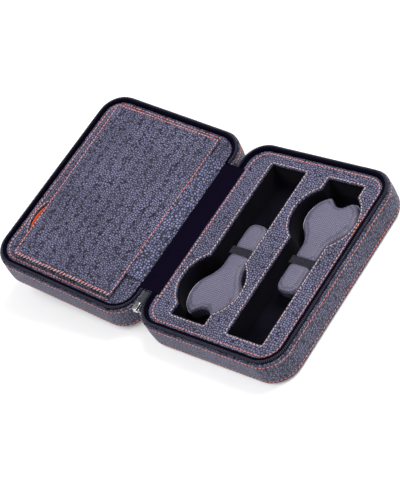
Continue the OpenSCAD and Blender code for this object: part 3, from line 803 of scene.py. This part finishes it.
def make_tray(half):
    """Leather-covered tray with rounded lips, sunk seams and its stitching. In the base the seam keeps
    clear of the spine's cloth, and in the lid it ends at the hinge strip."""
    near_seam = TRAY_SEAM + (SPINE_SEAM if half == "base" else 0)
    outer_lip = [(0.0, 0.0, -1.1), (0.12, 0.12, -0.45), (0.5, 0.5, -0.1), (1.0, 1.0, 0.0),
                 (2.1, near_seam - 0.7, 0.02), (2.5, near_seam - 0.3, -0.22),
                 (TRAY_SEAM, near_seam, -SEAM_DEEP), (3.05, near_seam + 0.25, -0.15),
                 (3.25, near_seam + 0.45, 0.0)]
    hole_lip = [(0.0, -0.9), (0.08, -0.4), (0.3, -0.1), (0.62, 0.0), (0.95, -0.06), (SLOT_SEAM, -0.3),
                (1.7, -0.06), (1.95, 0.0)]
    holes = [lambda e, s=s: keyhole(s, e) for s in SLOTS.values()]
    lip = [((e, es), dz) for e, es, dz in outer_lip]

    def warp(points):
        depth = np.clip((points[:, 2] - TRAY_LOW) / (TRAY_TOP - TRAY_LOW), 0, 1)
        return slow_swell(points) * depth * 0.4
    piece = covered_board(f"{half}_tray_leather", lambda e: tray_outline(*e), holes, TRAY_LOW, TRAY_TOP, half,
                          half, MATERIAL["leather"], warp, 3.5, lip, hole_lip)
    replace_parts(piece, f"{half}_tray")
    up = upward(half)
    seam = tray_outline(TRAY_SEAM, near_seam)
    if half == "lid":
        far = seam[:, 0] > TRAY_NEAR + TRAY_R - 1
        start = int(np.argmax(far & ~np.roll(far, 1)))
        seam = np.roll(seam, -start, 0)[:int(far.sum())]
    stitches(f"{half}_tray_stitching", [(place(lift(seam, TRAY_TOP - 0.2), half), up, half == "base")], half)
    runs = [(place(lift(keyhole(s, SLOT_SEAM), TRAY_TOP - 0.15), half), up, True) for s in SLOTS.values()]
    stitches(f"{half}_slot_stitching", runs, half, "pale_thread")


def make_well(half, which):
    """Velvet well: keyhole rings down the wall, a quarter-round fillet and a flat floor, closed by its
    outer wall."""
    s = SLOTS[which]
    top = TRAY_LOW - 0.02
    fillet = 1.6
    profile = [(-WELL_BACK - fillet - 1.0, WELL_FLOOR), (-WELL_BACK - fillet, WELL_FLOOR)]
    profile += [(-WELL_BACK - fillet * (1 - math.sin(a)), WELL_FLOOR + fillet * (1 - math.cos(a)))
                for a in np.linspace(0, math.pi / 2, 6)[1:]]
    profile += [(-WELL_BACK, z) for z in np.linspace(WELL_FLOOR + fillet + 2, top, 6)]
    profile += [(0.85, top), (0.85, WELL_FLOOR - 1.1)]
    rings = [lift(keyhole(s, e), z) for e, z in profile]
    velvet = "orange_velvet" if half == "lid" else "velvet"
    piece = loft(f"{half}_{which}_velvet", rings, half, MATERIAL[velvet], half=half)
    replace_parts(piece, f"{half}_well_{which}")


# Watch pads

HEAD_HALF = 25.2
LOBE_REACH = 25.0
NECK_HALF = 11.4
NECK_START = 25.0
NECK_REACH = 67.5
NOTCH_Y = -17.6
PAD_H = PAD_TOP - PAD_FLOOR
PIPING_Z = PAD_H - 4.2
PINCH = 1.1
BAND_AT = 38.5
PUFF_SCALE = 10
PUFF_FRAMES = 20


def smooth_closed(keys, per):
    """Closed curve through the keys, each stretch a cubic whose slope at a key is half the step
    between its neighbours."""
    a, b, c, d = (np.roll(keys, k, 0) for k in (1, 0, -1, -2))
    t = (np.arange(per) / per)[None, :, None]
    a, b, c, d = (k[:, None] for k in (a, b, c, d))
    curve = 0.5 * (2 * b + (c - a) * t + (2 * a - 5 * b + 4 * c - d) * t ** 2
                   + (3 * b - a - 3 * c + d) * t ** 3)
    return curve.reshape(-1, 2)


def pad_outline(per=6):
    """Outline of a pad with its neck along +y: head with a notch between two lobes, shoulders, neck."""
    h, n, lobe, start, end = HEAD_HALF, NECK_HALF, LOBE_REACH, NECK_START, NECK_REACH
    shoulder = h * 0.68
    right = [(0, NOTCH_Y), (h * 0.18, NOTCH_Y * 1.06), (h * 0.34, NOTCH_Y * 1.26), (h * 0.47, -lobe),
             (h * 0.64, -lobe * 0.936), (h * 0.86, -lobe * 0.72), (h * 0.985, -lobe * 0.4), (h, -lobe * 0.08),
             (h * 0.9, start * 0.24), (shoulder, start * 0.5), ((shoulder + n) / 2, start * 0.66),
             (n * 1.1, start * 0.8), (n, start), (n, (start + end) / 2), (n, end - n * 0.8),
             (n * 0.84, end - n * 0.25), (n * 0.42, end - n * 0.03), (0, end)]
    left = [(-x, y) for x, y in right[1:-1]][::-1]
    return smooth_closed(np.array(right + left, float), per)


def pad_mesh():
    """Pad form about the middle of its bay: rings drawn from the outline towards a middle line, up the
    side, over the piping and up a steep shoulder to a crowned top."""
    outline = inset(pad_outline(), 0.35)
    n = len(outline)
    k = np.minimum(np.arange(n), n - np.arange(n))
    ridge_y = np.clip(outline[:, 1], NOTCH_Y + 5 + 0.06 * k, NECK_REACH - 5 - 0.06 * (n // 2 - k))
    ridge = np.column_stack([np.zeros(n), ridge_y])
    share = [(0.40, 0.0), (0.10, 0.0), (0.03, 0.7), (0.04, PIPING_Z * 0.5), (0.03, PIPING_Z * 0.85)]
    crown = [(0.0, 0.0), (0.05, 0.9), (0.11, 2.5), (0.17, 3.3), (0.30, 3.75), (0.5, 4.0), (0.75, 4.15),
             (0.97, 4.2)]
    share += [(s, PIPING_Z + up) for s, up in crown]
    lift_by = 2.4 * np.clip((outline[:, 1] - 18) / 8, 0, 1)
    rows = [lift(outline * (1 - s) + ridge * s, z + lift_by * max(0, 1 - z / PIPING_Z)) for s, z in share]
    return np.concatenate(rows), loft_faces(len(rows), n) + end_caps(len(rows), n)


def pinch(points):
    """Drawn in under the band by a bell curve, on top and at the sides, and a little up beside it."""
    y = points[:, 1] - BAND_AT
    high = np.clip((points[:, 2] - PIPING_Z * 0.6) / 4, 0, 1)
    held = np.exp(-(y / 4.8) ** 4)
    out = points.copy()
    out[:, 2] += high * (-PINCH * held + 0.25 * np.exp(-((np.abs(y) - 8) / 3.5) ** 2))
    out[:, 2] = np.minimum(out[:, 2], PAD_H + 0.9 - (PINCH + 0.9) * held)
    side = NECK_HALF + 0.9 - 1.3 * held
    out[:, 0] = np.where(np.abs(y) < 8, np.clip(out[:, 0], -side, side), out[:, 0])
    return out


def puffed(points, faces, cap):
    """The pad blown up as cloth: a closed net, PUFF_SCALE times as large, under a little pressure for
    PUFF_FRAMES frames, where no point may move further than cap. Returns points in mm and faces."""
    mesh = bpy.data.meshes.new("pad_net")
    mesh.from_pydata((points * MM * PUFF_SCALE).tolist(), [], faces)
    net = outward(linked("pad_net", mesh))
    remesh = net.modifiers.new("remesh", "REMESH")
    remesh.mode = "VOXEL"
    remesh.voxel_size = 0.016
    base = evaluated(net)
    net.modifiers.clear()
    net.data = base
    rest = vertices(base)
    held = net.vertex_groups.new(name="held")
    low = PIPING_Z * MM * PUFF_SCALE * 0.9
    held.add([int(v) for v in np.nonzero(rest[:, 2] < low)[0]], 1.0, "REPLACE")
    cloth = net.modifiers.new("cloth", "CLOTH")
    cloth.settings.use_pressure = True
    cloth.settings.uniform_pressure_force = 4.0
    cloth.settings.effector_weights.gravity = 0
    cloth.settings.vertex_group_mass = "held"
    cloth.settings.quality = 6
    cloth.settings.tension_stiffness = 20
    cloth.settings.bending_stiffness = 1.5
    cloth.point_cache.frame_end = PUFF_FRAMES
    scene = bpy.context.scene
    for f in range(1, PUFF_FRAMES + 1):
        scene.frame_set(f)
    blown = evaluated(net)
    step = vertices(blown) - rest
    size = np.linalg.norm(step, axis=1)[:, None]
    now = rest + step * np.minimum(1, cap * MM * PUFF_SCALE / np.maximum(size, 1e-9))
    scene.frame_set(1)
    out_faces = [list(p.vertices) for p in blown.polygons]
    bpy.data.objects.remove(net)
    return now / (MM * PUFF_SCALE), out_faces


PAD_SHAPE = {}


def pad_shape():
    """Points and faces of the finished pad, worked out once."""
    if not PAD_SHAPE:
        points, faces = pad_mesh()
        points, faces = puffed(points, faces, 0.6)
        PAD_SHAPE["points"], PAD_SHAPE["faces"] = pinch(points), faces
    return PAD_SHAPE["points"], PAD_SHAPE["faces"]


def at_bay(points, which):
    """Pad coordinates to half coordinates: the neck runs away from the bay's end of the slot."""
    u, s = SLOTS[which]
    turned = points * [-1, -1, 1] if s > 0 else points
    return turned + [u - s * PAD_SHIFT, s * BAY_Y, PAD_FLOOR]


def shade_sides(piece, which, half):
    """Painted shade: the darker copy of the pad leather on every face whose middle is under the piping."""
    piece.data.materials.append(MATERIAL["pad_painted_shade"])
    steps = np.array([[0, 0, z] for z in (0, PIPING_Z - 0.3, PIPING_Z)])
    foot, level, top = place(at_bay(steps, which), half)
    up = (top - foot) / np.linalg.norm(top - foot)
    middles = np.zeros(len(piece.data.polygons) * 3)
    piece.data.polygons.foreach_get("center", middles)
    under = (middles.reshape(-1, 3) - level) @ up < 0
    piece.data.polygons.foreach_set("material_index", under.astype(np.int32))


def make_pad(half, which):
    """Stuffed pad with a thin piping cord round its edge."""
    body = f"{half}_pad_{which}"
    points, faces = pad_shape()
    piece = new_piece(f"{body}_cover", place(at_bay(points, which), half), faces, body,
                      MATERIAL["pad_leather"])
    outward(piece)
    shade_sides(piece, which, half)
    piece.modifiers.new("smooth", "SUBSURF")
    piece.modifiers["smooth"].levels = piece.modifiers["smooth"].render_levels = 1
    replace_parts(piece, body)
    edge = lift(inset(pad_outline(), 1.35), PIPING_Z + 0.1)
    cord, _ = resample(edge, 1.0)
    tube(f"{body}_piping", place(at_bay(pinch(cord), which), half), 0.5, body,
         MATERIAL["piping"], sides=8)


BAND_W = 8.0
BAND_RIBS = 4


def make_band(half, which):
    """Elastic loop round a pad's neck: a rounded rectangle carried along y, whose thickness goes up and
    down by the size of a sine for its ribs."""
    w, lo, hi = NECK_HALF + 0.75, 1.6, PAD_H - PINCH + 0.75
    section = rounded(-w, w, lo, hi, 2.6, per_arc=8, step=1.5)
    t = np.linspace(0, 1, 8 * BAND_RIBS + 1)
    rib = 0.55 * np.abs(np.sin(math.pi * BAND_RIBS * t)) ** 0.7
    y = BAND_AT + (t - 0.5) * BAND_W * 0.9
    rings = [at_bay(upright(inset(section, e), at), which)
             for at, e in list(zip(y, 0.1 - rib)) + [(at, 0.35) for at in y[::-4]]]
    count = len(section)
    faces = loft_faces(len(rings), count, ring=True)
    points = place(np.concatenate(rings), half)
    around = travelled(section) * MM
    uv = np.stack([np.tile(around, len(rings)), np.repeat(np.arange(len(rings)) * 0.2 * MM, count)], 1)
    name = f"{half}_{which}_elastic"
    piece = outward(new_piece(name, points, faces, half, MATERIAL["elastic"], uv))
    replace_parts(piece, f"{half}_band_{which}")


# Flap

FLAP_NEAR, FLAP_Y = 24.6, 83.5
FLAP_FAR_BACK, FLAP_FAR_FRONT = 135.6, 129.8
FLAP_LOW, FLAP_TOP = TRAY_TOP + 0.9, TRAY_TOP + 3.1
FLAP_SEAM = 1.5
FLAP_CORNER = 2.2
CLOTH_IN = 1.4
STRIP_HALF, STRIP_Y = 63.0, -2.5


def flap_outline(e):
    """Outline of the flap in the lid's half coordinates, skewed: its free edge leans from back to front.
    y is turned round in the lid, so the back of the case is at -y here."""
    box = rounded(FLAP_NEAR, FLAP_FAR_BACK, -FLAP_Y, FLAP_Y, FLAP_CORNER, e=e)
    lean = (FLAP_FAR_FRONT - FLAP_FAR_BACK) * (box[:, 1] + FLAP_Y) / (2 * FLAP_Y)
    share = (box[:, 0] - FLAP_NEAR) / (FLAP_FAR_BACK - FLAP_NEAR)
    box[:, 0] += lean * share
    return box


def flap_warp(points):
    """Lies on the tray by the hinge and lifts along its front edge and front corner, with a slow swell."""
    u = np.clip((points[:, 0] - FLAP_NEAR) / 105, 0, 1)
    front = np.clip((points[:, 1] + 10) / (FLAP_Y + 10), 0, 1)
    return (1.5 * front ** 2 * (0.35 + 0.65 * u) + 0.4 * u
            + 0.22 * np.sin(points[:, 0] / 17.0 + 0.8) * np.sin(points[:, 1] / 23.0 + 0.5))


def make_flap():
    """The flap: a covered board with a rounded lip and a sunk seam, stitched all round and once more
    with slanted stitches along its front edge."""
    lip = [(1.2, -2.2), (0.45, -2.0), (0.1, -1.6), (0.0, -1.1), (0.1, -0.55), (0.4, -0.15), (0.85, 0.0),
           (1.15, -0.08), (FLAP_SEAM, -0.3), (1.85, -0.06), (2.3, 0.05)]
    piece = covered_board("flap_cover", flap_outline, [], FLAP_LOW, FLAP_TOP, "lid", "flap",
                          MATERIAL["leather"], flap_warp, 4.0, lip)
    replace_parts(piece, "flap_leather", "flap_board")
    seam = lift(flap_outline(FLAP_SEAM), FLAP_TOP - 0.15)
    seam[:, 2] += flap_warp(seam)
    up = upward("lid")
    stitches("flap_stitching", [(place(seam, "lid"), up, True)], "flap")
    edge = lift(flap_outline(0.35), FLAP_TOP - 0.25)
    edge = edge[edge[:, 1] > FLAP_Y - 0.5]
    edge = edge[np.argsort(edge[:, 0])]
    edge[:, 2] += flap_warp(edge)
    stitches("flap_edge_stitching", [(place(edge, "lid"), up, False)], "flap", "pale_thread", 1.1)
    make_flap_cloth()


def make_flap_cloth():
    """Cloth under the flap: one sheet over a grid of shares across and along, on the flap's own warp,
    with its edge turned up against the leather."""
    n_across, n_along = 41, 61
    along = np.linspace(-1, 1, n_along)
    y = along * (FLAP_Y - CLOTH_IN)
    lean = (FLAP_FAR_FRONT - FLAP_FAR_BACK) * (y + FLAP_Y) / (2 * FLAP_Y)
    near, far = FLAP_NEAR + CLOTH_IN, FLAP_FAR_BACK - CLOTH_IN
    v, t = np.meshgrid(np.arange(n_along), np.linspace(0, 1, n_across), indexing="ij")
    u = near + (far - near + lean[v]) * t
    points = np.stack([u, y[v], np.full(u.shape, FLAP_LOW - 0.45)], -1).reshape(-1, 3)
    points[:, 2] += flap_warp(points)
    points[:, 2] += 0.04 * np.sin(points[:, 0] / 4.1) * np.sin(points[:, 1] / 5.3)
    border = (np.minimum(t, 1 - t) < 0.01) | (np.abs(along[v]) > 0.99)
    points[border.ravel(), 2] += 0.4
    faces = np.array(loft_faces(n_along, n_across, closed=False))[:, ::-1].tolist()
    cloth = new_piece("flap_under_cloth", place(points, "lid"), faces, "flap",
                      MATERIAL["cloth_object"])
    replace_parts(cloth, "flap_lining")


def make_strip():
    """Leather hinge of the flap: a bent sheet from the spine's cloth, over the tray's edge, up to the
    flap, where it lies on the near edge as far as the seam. Closed by its underside, with thin edges."""
    n = 25
    near, far = TRAY_NEAR - 1.1, FLAP_NEAR + FLAP_SEAM - 0.25
    t = np.linspace(0, 1, n)
    y = np.linspace(STRIP_Y - STRIP_HALF, STRIP_Y + STRIP_HALF, 90)
    u = near + (far - near) * t
    low, high = WALL_TOP + 1.55, FLAP_TOP + 0.12
    climb = np.clip((t - 0.22) / 0.72, 0, 1)
    rise = low + (high - low) * climb * climb * (3 - 2 * climb)
    edge = 0.45 * (1 - np.clip(np.minimum(t, 1 - t) / 0.05, 0, 1)) ** 2
    thick = 0.85 - 0.55 * np.clip((u - FLAP_NEAR + 0.4) / 0.4, 0, 1)
    rows = []
    for at in y:
        end = min(1, (STRIP_HALF - abs(at - STRIP_Y)) / 1.0)
        lift_up = flap_warp(np.column_stack([np.full(n, FLAP_NEAR + 1), np.full(n, at)])) * climb
        wave = 0.12 * math.sin(at / 8.0) + 0.10 * np.sin(at / 3.1 + u / 2)
        top = rise - edge - 0.35 * (1 - end) ** 2 + wave * 4 * t * (1 - t) + lift_up
        section = np.vstack([np.column_stack([u, top]), np.column_stack([u, top - thick])[::-1]])
        rows.append(upright(section, at))
    # The strip's leather is the lighter copy of the pebbled leather, a painted highlight.
    piece = loft("flap_hinge_leather", rows, None, MATERIAL["strip_leather_painted_highlight"], half="lid")
    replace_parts(piece, "flap_strip")
    start, end = place([[FLAP_NEAR - 3.0, 0, FLAP_TOP], [FLAP_NEAR + 0.3, 0, FLAP_TOP]], "lid")
    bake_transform(piece)


# Spine

def spine_section(in_base, in_lid, n_cross):
    """Line across the spine: (u, z) points of the base up to the hinge line, then those of the lid back
    down, as points without y, evenly spaced."""
    base = place(np.array([[u, 0, z] for u, z in in_base]), "base")
    lid = place(np.array([[u, 0, z] for u, z in in_lid[::-1]]), "lid")
    path = np.vstack([base, lid])
    s = travelled(path)
    at = np.linspace(0, s[-1], n_cross)
    return np.stack([np.interp(at, s, column) for column in path.T], 1), s[-1]


def spine_sheet(name, in_base, in_lid, half_y, thick, material, ripple, n_cross=49, n_along=70):
    """Sheet across the spine between two bodies, closed by a second side thick below the first. Its
    ripple is a product of sines that dies away towards its four edges."""
    section, reach = spine_section(in_base, in_lid, n_cross)
    for _ in range(6):
        section[1:-1] = (section[:-2] + 2 * section[1:-1] + section[2:]) / 4
    t = np.gradient(section, axis=0)
    normal = unit(np.column_stack([t[:, 2], np.zeros(n_cross), -t[:, 0]]))
    normal *= np.sign(normal[:, 2:3])
    y = np.linspace(-half_y, half_y, n_along) * MM
    fade = np.sin(math.pi * np.linspace(0, 1, n_cross)) ** 0.5
    rows = []
    for at in y:
        wave = ripple * MM * fade * (0.6 * math.sin(at * 130 + 1.0)
                                     + 0.4 * np.sin(at * 410 + np.linspace(0, 5, n_cross)))
        upper = section + normal * wave[:, None] + [0, at, 0]
        lower = upper - normal * thick * MM
        rows.append((np.vstack([upper, lower[::-1]]) if thick else upper) / MM)
    return loft(name, rows, None, material, capped=bool(thick), closed=bool(thick)), reach


def make_spine():
    """The two sheets across the spine: cloth from tray to tray over both rims, and leather outside. Both
    run from the base to the lid as it lies."""
    over_rim = [(6.5, WALL_TOP + 0.85), (4.5, WALL_TOP + 1.1), (2.5, RIM_TOP - 1.3), (0.4, RIM_TOP - 0.75)]
    base_end = [(SPINE_CLOTH, TRAY_TOP + 0.25), (TRAY_NEAR + 0.6, TRAY_TOP + 0.5)]
    lid_end = [(TRAY_NEAR - 0.3, WALL_TOP + 0.7)]
    cloth, reach = spine_sheet("hinge_cloth", base_end + over_rim, lid_end + over_rim, TAIL_Y - 0.2, 0,
                               MATERIAL["cloth"], 0.16)
    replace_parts(cloth, "hinge_lining")
    blend_line(cloth, 5.0)
    outside = [(1.3, WALL_TOP - 9), (1.2, WALL_TOP - 2), (0.9, WALL_TOP), (0.2, RIM_TOP - 1.6)]
    strip, _ = spine_sheet("spine_leather", outside, outside, TAIL_Y - 0.2, 0.9,
                           MATERIAL["leather"], 0.0)
    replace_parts(strip, "spine_strip")
    blend_line(strip, 1.2)


def blend_line(piece, reach):
    """Bakes a piece's transform into its mesh. The places reach mm inside the base and inside the lid are
    worked out, but nothing bends the piece between them.
    """
    start = place([[reach, 0, HINGE[2]]], "base")[0]
    end = place([[reach, 0, HINGE[2]]], "lid")[0]
    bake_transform(piece)


# Zip end: chain, slider and pull

CHAIN_Z, CHAIN_HALF = -3.0, 1.75
SLIDER_FRONT, SLIDER_LEN, SLIDER_HALF = -CASE_D / 2 + 9.5, 8.0, 2.7
PLATE_LOW, PLATE_T = 0.9, 1.2
PIN_Y, PIN_DROP, PIN_R = SLIDER_FRONT + 3.5, 4.15, 0.75
EYE_R, EYE_HALF, EAR_T = 2.05, 1.0, 1.2
PULL_HALF, PULL_LEN = 2.0, 10.0


def joined(name, pieces, body):
    """Several closed meshes of one material as one piece."""
    whole = bmesh.new()
    for piece in pieces:
        whole.from_mesh(piece.data)
    material = pieces[0].data.materials[0]
    mesh = bpy.data.meshes.new(name)
    whole.to_mesh(mesh)
    whole.free()
    for piece in pieces:
        bpy.data.objects.remove(piece)
    mesh.materials.append(material)
    out = linked(name, mesh)
    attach(out, body)
    return out


def metal_plate(outline, thick, to_frame, holes=(), crown=0.0):
    """Small plate with rounded edges: the outline drawn in by e at each of its lips, about its middle
    plane, and a top that rises by a parabola across x."""
    lip = [(0.30, -thick), (0.08, 0.22 - thick), (0.0, 0.45 - thick), (0.0, -0.45), (0.08, -0.22),
           (0.30, -0.04), (0.5, 0.0)]
    hole_lip = [(e * 0.7, dz) for e, dz in lip]
    return covered_board("plate", outline, list(holes), -thick / 2, thick / 2, to_frame, None,
                         MATERIAL["metal"],
                         lambda p: crown * np.clip(1 - (p[:, 0] / SLIDER_HALF) ** 2, 0, 1) * (p[:, 2] > 0),
                         0.9, lip, hole_lip)


def slider_outline(e):
    """Rounded rectangle that tapers by an eighth towards its back end."""
    box = rounded(-SLIDER_HALF, SLIDER_HALF, SLIDER_FRONT, SLIDER_FRONT + SLIDER_LEN, 1.3, 8, 1.0, e=e)
    box[:, 0] *= 1 - 0.13 * (box[:, 1] - SLIDER_FRONT) / SLIDER_LEN
    return box


def pull_outline():
    """Narrow shank that widens by a smooth step to a round-ended tab."""
    down = np.concatenate([np.linspace(1.2, 4.4, 5), np.linspace(4.7, 5.9, 6), [7.0]])
    t = np.clip((down - 4.4) / 1.5, 0, 1)
    wide = EYE_HALF + (PULL_HALF - EYE_HALF) * t * t * (3 - 2 * t)
    right = np.column_stack([wide, -down])[::-1]
    tip = arc(0, PULL_HALF - PULL_LEN, PULL_HALF, 180, 360, 20)
    return np.vstack([tip, right, right[::-1] * [-1, 1]])


def disc(r, at=0.0, grow=-1.0, n=32):
    """Outline of a circle round (0, at) as a function of e: its radius is r plus grow times e."""
    return lambda e: arc(0, at, r + grow * e, 0, 360, n)


def block(u0, u1, y0, y1, r, per_arc, shrink=1.0):
    """Outline of a rounded rectangle as a function of e: it is drawn in by shrink times e."""
    return lambda e: rounded(u0, u1, y0, y1, r, per_arc, 1.0, e=e * shrink)


def at_chain(columns, shift, side=1):
    """Function that carries a plate's points to the row frame: columns says which of its own x, y and z
    become the chain's x, y and z, and shift is the plate's place from the chain's middle. Where side is
    -1 the plate is turned over first."""
    def to_frame(p):
        return zip_end_place((p * [1, 1, side])[:, columns] + shift + [0, 0, CHAIN_Z])
    return to_frame


def make_chain():
    """Chain with its two tapes: a section whose top is four ridges, cut across at every tooth."""
    x = np.linspace(-CHAIN_HALF, CHAIN_HALF, 29)
    wing = [(2.55, -0.05), (2.55, 0.15), (1.85, 0.17)]
    low = [(1.8, -0.1), (1.6, -0.5), (-1.6, -0.5), (-1.8, -0.1)]
    rings = []
    for at in np.arange(SLIDER_FRONT + 2.0, -TAIL_Y - 0.4, 0.25):
        tooth = 0.75 + 0.25 * abs(math.sin(math.pi * at / 1.1))
        ridges = 0.12 + 0.36 * np.abs(np.sin(math.pi * x / CHAIN_HALF)) ** 0.6 * tooth
        section = [(-w, z) for w, z in wing] + list(zip(x, ridges)) + wing[::-1] + low
        rings.append(upright(np.array(section) + [0, CHAIN_Z], at))
    chain = loft("zip_chain", rings, "zip_tail", MATERIAL["chain"], half=zip_end_place)
    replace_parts(chain, "zip_end")


def make_slider():
    """Two plates that hold a post and two side flanges between them and carry the pull's ears and pin."""
    parts = []
    for side in (1, -1):
        middle = side * (PLATE_LOW + PLATE_T / 2)
        parts.append(metal_plate(slider_outline, PLATE_T - 0.1, at_chain([0, 1, 2], [0, 0, middle], side),
                                 crown=0.15))
    post = block(-1, 1, SLIDER_FRONT + 0.1, SLIDER_FRONT + 1.6, 0.5, 6, 0.3)
    parts.append(metal_plate(post, 2 * PLATE_LOW, at_chain([0, 1, 2], [0, 0, 0])))
    ear = block(-1.55, 1.55, -1.55, PIN_DROP - PLATE_LOW - 0.1, 1.45, 8)
    for side in (-1, 1):
        middle = side * (SLIDER_HALF - 0.3)
        flange = block(middle - 0.25, middle + 0.25, SLIDER_FRONT + 3.2, SLIDER_FRONT + SLIDER_LEN - 0.3,
                       0.2, 4, 0.3)
        parts.append(metal_plate(flange, 0.75, at_chain([0, 1, 2], [0, 0, 0.35 - PLATE_LOW])))
        beside = side * (EYE_HALF + 0.3 + EAR_T / 2)
        parts.append(metal_plate(ear, EAR_T - 0.05, at_chain([2, 0, 1], [beside, PIN_Y, -PIN_DROP])))
    x = np.linspace(-EYE_HALF - 1.3, EYE_HALF + 1.3, 6)
    pin = zip_end_place(np.column_stack([x, np.full(6, PIN_Y), np.full(6, CHAIN_Z - PIN_DROP)]))
    parts.append(tube("pin", pin, PIN_R - 0.03, None, MATERIAL["metal"], sides=16, closed=False))
    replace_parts(joined("slider_metal", parts, "slider"), "zip_slider")


def make_pull():
    """A round eye across the pin, and a flat tab with a hole in its end that hangs from it."""
    pin = [0, PIN_Y, -PIN_DROP]
    eye = metal_plate(disc(EYE_R), 2 * EYE_HALF - 0.05, at_chain([2, 0, 1], pin),
                      [disc(PIN_R + 0.3, grow=1, n=24)])
    tab = metal_plate(lambda e: inset(pull_outline(), e * 0.8), 1.15, at_chain([0, 2, 1], pin),
                      [disc(1.0, PULL_HALF - PULL_LEN, 0.6, 24)])
    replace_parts(joined("pull_metal", [eye, tab], "pull"), "zip_pull")


# Stage, camera and lamps

def make_stage():
    """Plain pale floor with faint specks."""
    points = [[-6, -6, 0], [6, -6, 0], [6, 6, 0], [-6, 6, 0]]
    mat, tree, shader = new_material("pale_table", 0.65)
    speck = add(tree, "ShaderNodeTexNoise", {"Vector": object_coords(tree), "Scale": 30.0})
    tree.links.new(blend_colours(tree, speck.outputs["Fac"], (0.86, 0.86, 0.87), (0.90, 0.90, 0.90)),
                   shader.inputs["Base Color"])
    floor = new_piece("table", points, [[0, 1, 2, 3]], None, mat)


TARGET = np.array([HINGE[0] + 25.56, -14.21, 38.0]) * MM
DISTANCE = 1.1874
AZIMUTH, ELEVATION, ROLL = 61.71, 43.52, -35.16
LENS, SENSOR = 134.93, 36.0


def make_camera():
    """Camera on a ray from the target, turned about that ray by the photograph's roll."""
    a, e, r = (math.radians(v) for v in (AZIMUTH, ELEVATION, ROLL))
    back = Vector((math.sin(a) * math.cos(e), -math.cos(a) * math.cos(e), math.sin(e)))
    right = (-back).cross(Vector((0, 0, 1))).normalized()
    up = right.cross(-back)
    side = right * math.cos(r) + up * math.sin(r)
    head = up * math.cos(r) - right * math.sin(r)
    data = bpy.data.cameras.new("camera")
    data.sensor_fit = "HORIZONTAL"
    data.sensor_width = SENSOR
    data.lens = LENS
    camera = linked("camera", data)
    turn = Matrix((side, head, back)).transposed().to_4x4()
    camera.matrix_world = Matrix.Translation(Vector(TARGET) + back * DISTANCE) @ turn
    bpy.context.scene.camera = camera


def lamp(name, place_at, aim, size, power, colour=(1, 1, 1)):
    """Square soft lamp at a place, facing a point."""
    data = bpy.data.lights.new(name, "AREA")
    data.shape, data.size, data.energy, data.color = "SQUARE", size, power, colour
    obj = linked(name, data)
    obj.location = place_at
    obj.rotation_mode = "QUATERNION"
    obj.rotation_quaternion = (Vector(aim) - Vector(place_at)).to_track_quat("-Z", "Y")


def make_light():
    """White surroundings, weaker for the light they give than for what the camera sees of them, and
    three soft lamps."""
    world = bpy.data.worlds.new("studio")
    bpy.context.scene.world = world
    world.use_nodes = True
    tree = world.node_tree
    tree.nodes.clear()
    path = add(tree, "ShaderNodeLightPath")
    strength = math_node(tree, "ADD", 0.45, math_node(tree, "MULTIPLY", path.outputs["Is Camera Ray"], 0.55))
    strength = math_node(tree, "SUBTRACT", strength,
                         math_node(tree, "MULTIPLY", path.outputs["Is Glossy Ray"], 0.2))
    sky = add(tree, "ShaderNodeBackground", {"Color": (1, 1, 1, 1), "Strength": strength})
    out = add(tree, "ShaderNodeOutputWorld")
    tree.links.new(sky.outputs[0], out.inputs["Surface"])
    lamp("key", (0.35, 0.75, 1.15), (-0.05, 0, 0.02), 0.7, 24.0)
    lamp("fill", (0.7, -1.0, 0.9), (-0.05, 0, 0.02), 0.9, 8.0)
    lamp("side", (-0.45, -0.60, 1.25), (-0.12, -0.10, 0.0), 1.0, 13.0)
    bpy.context.scene.view_settings.view_transform = "Standard"


make_camera()
make_light()
make_stage()
for half_name in ("base", "lid"):
    make_skin(half_name)
    make_rim(half_name)
    make_tray(half_name)
    for slot_name in SLOTS:
        make_well(half_name, slot_name)
        make_pad(half_name, slot_name)
        make_band(half_name, slot_name)
make_flap()
make_strip()
make_spine()
make_chain()
make_slider()
make_pull()

for node_name in ("base_board", "lid_board"):
    cad = frame["nodes"][node_name]
    cad.data.materials.clear()
    cad.data.materials.append(MATERIAL["card"])
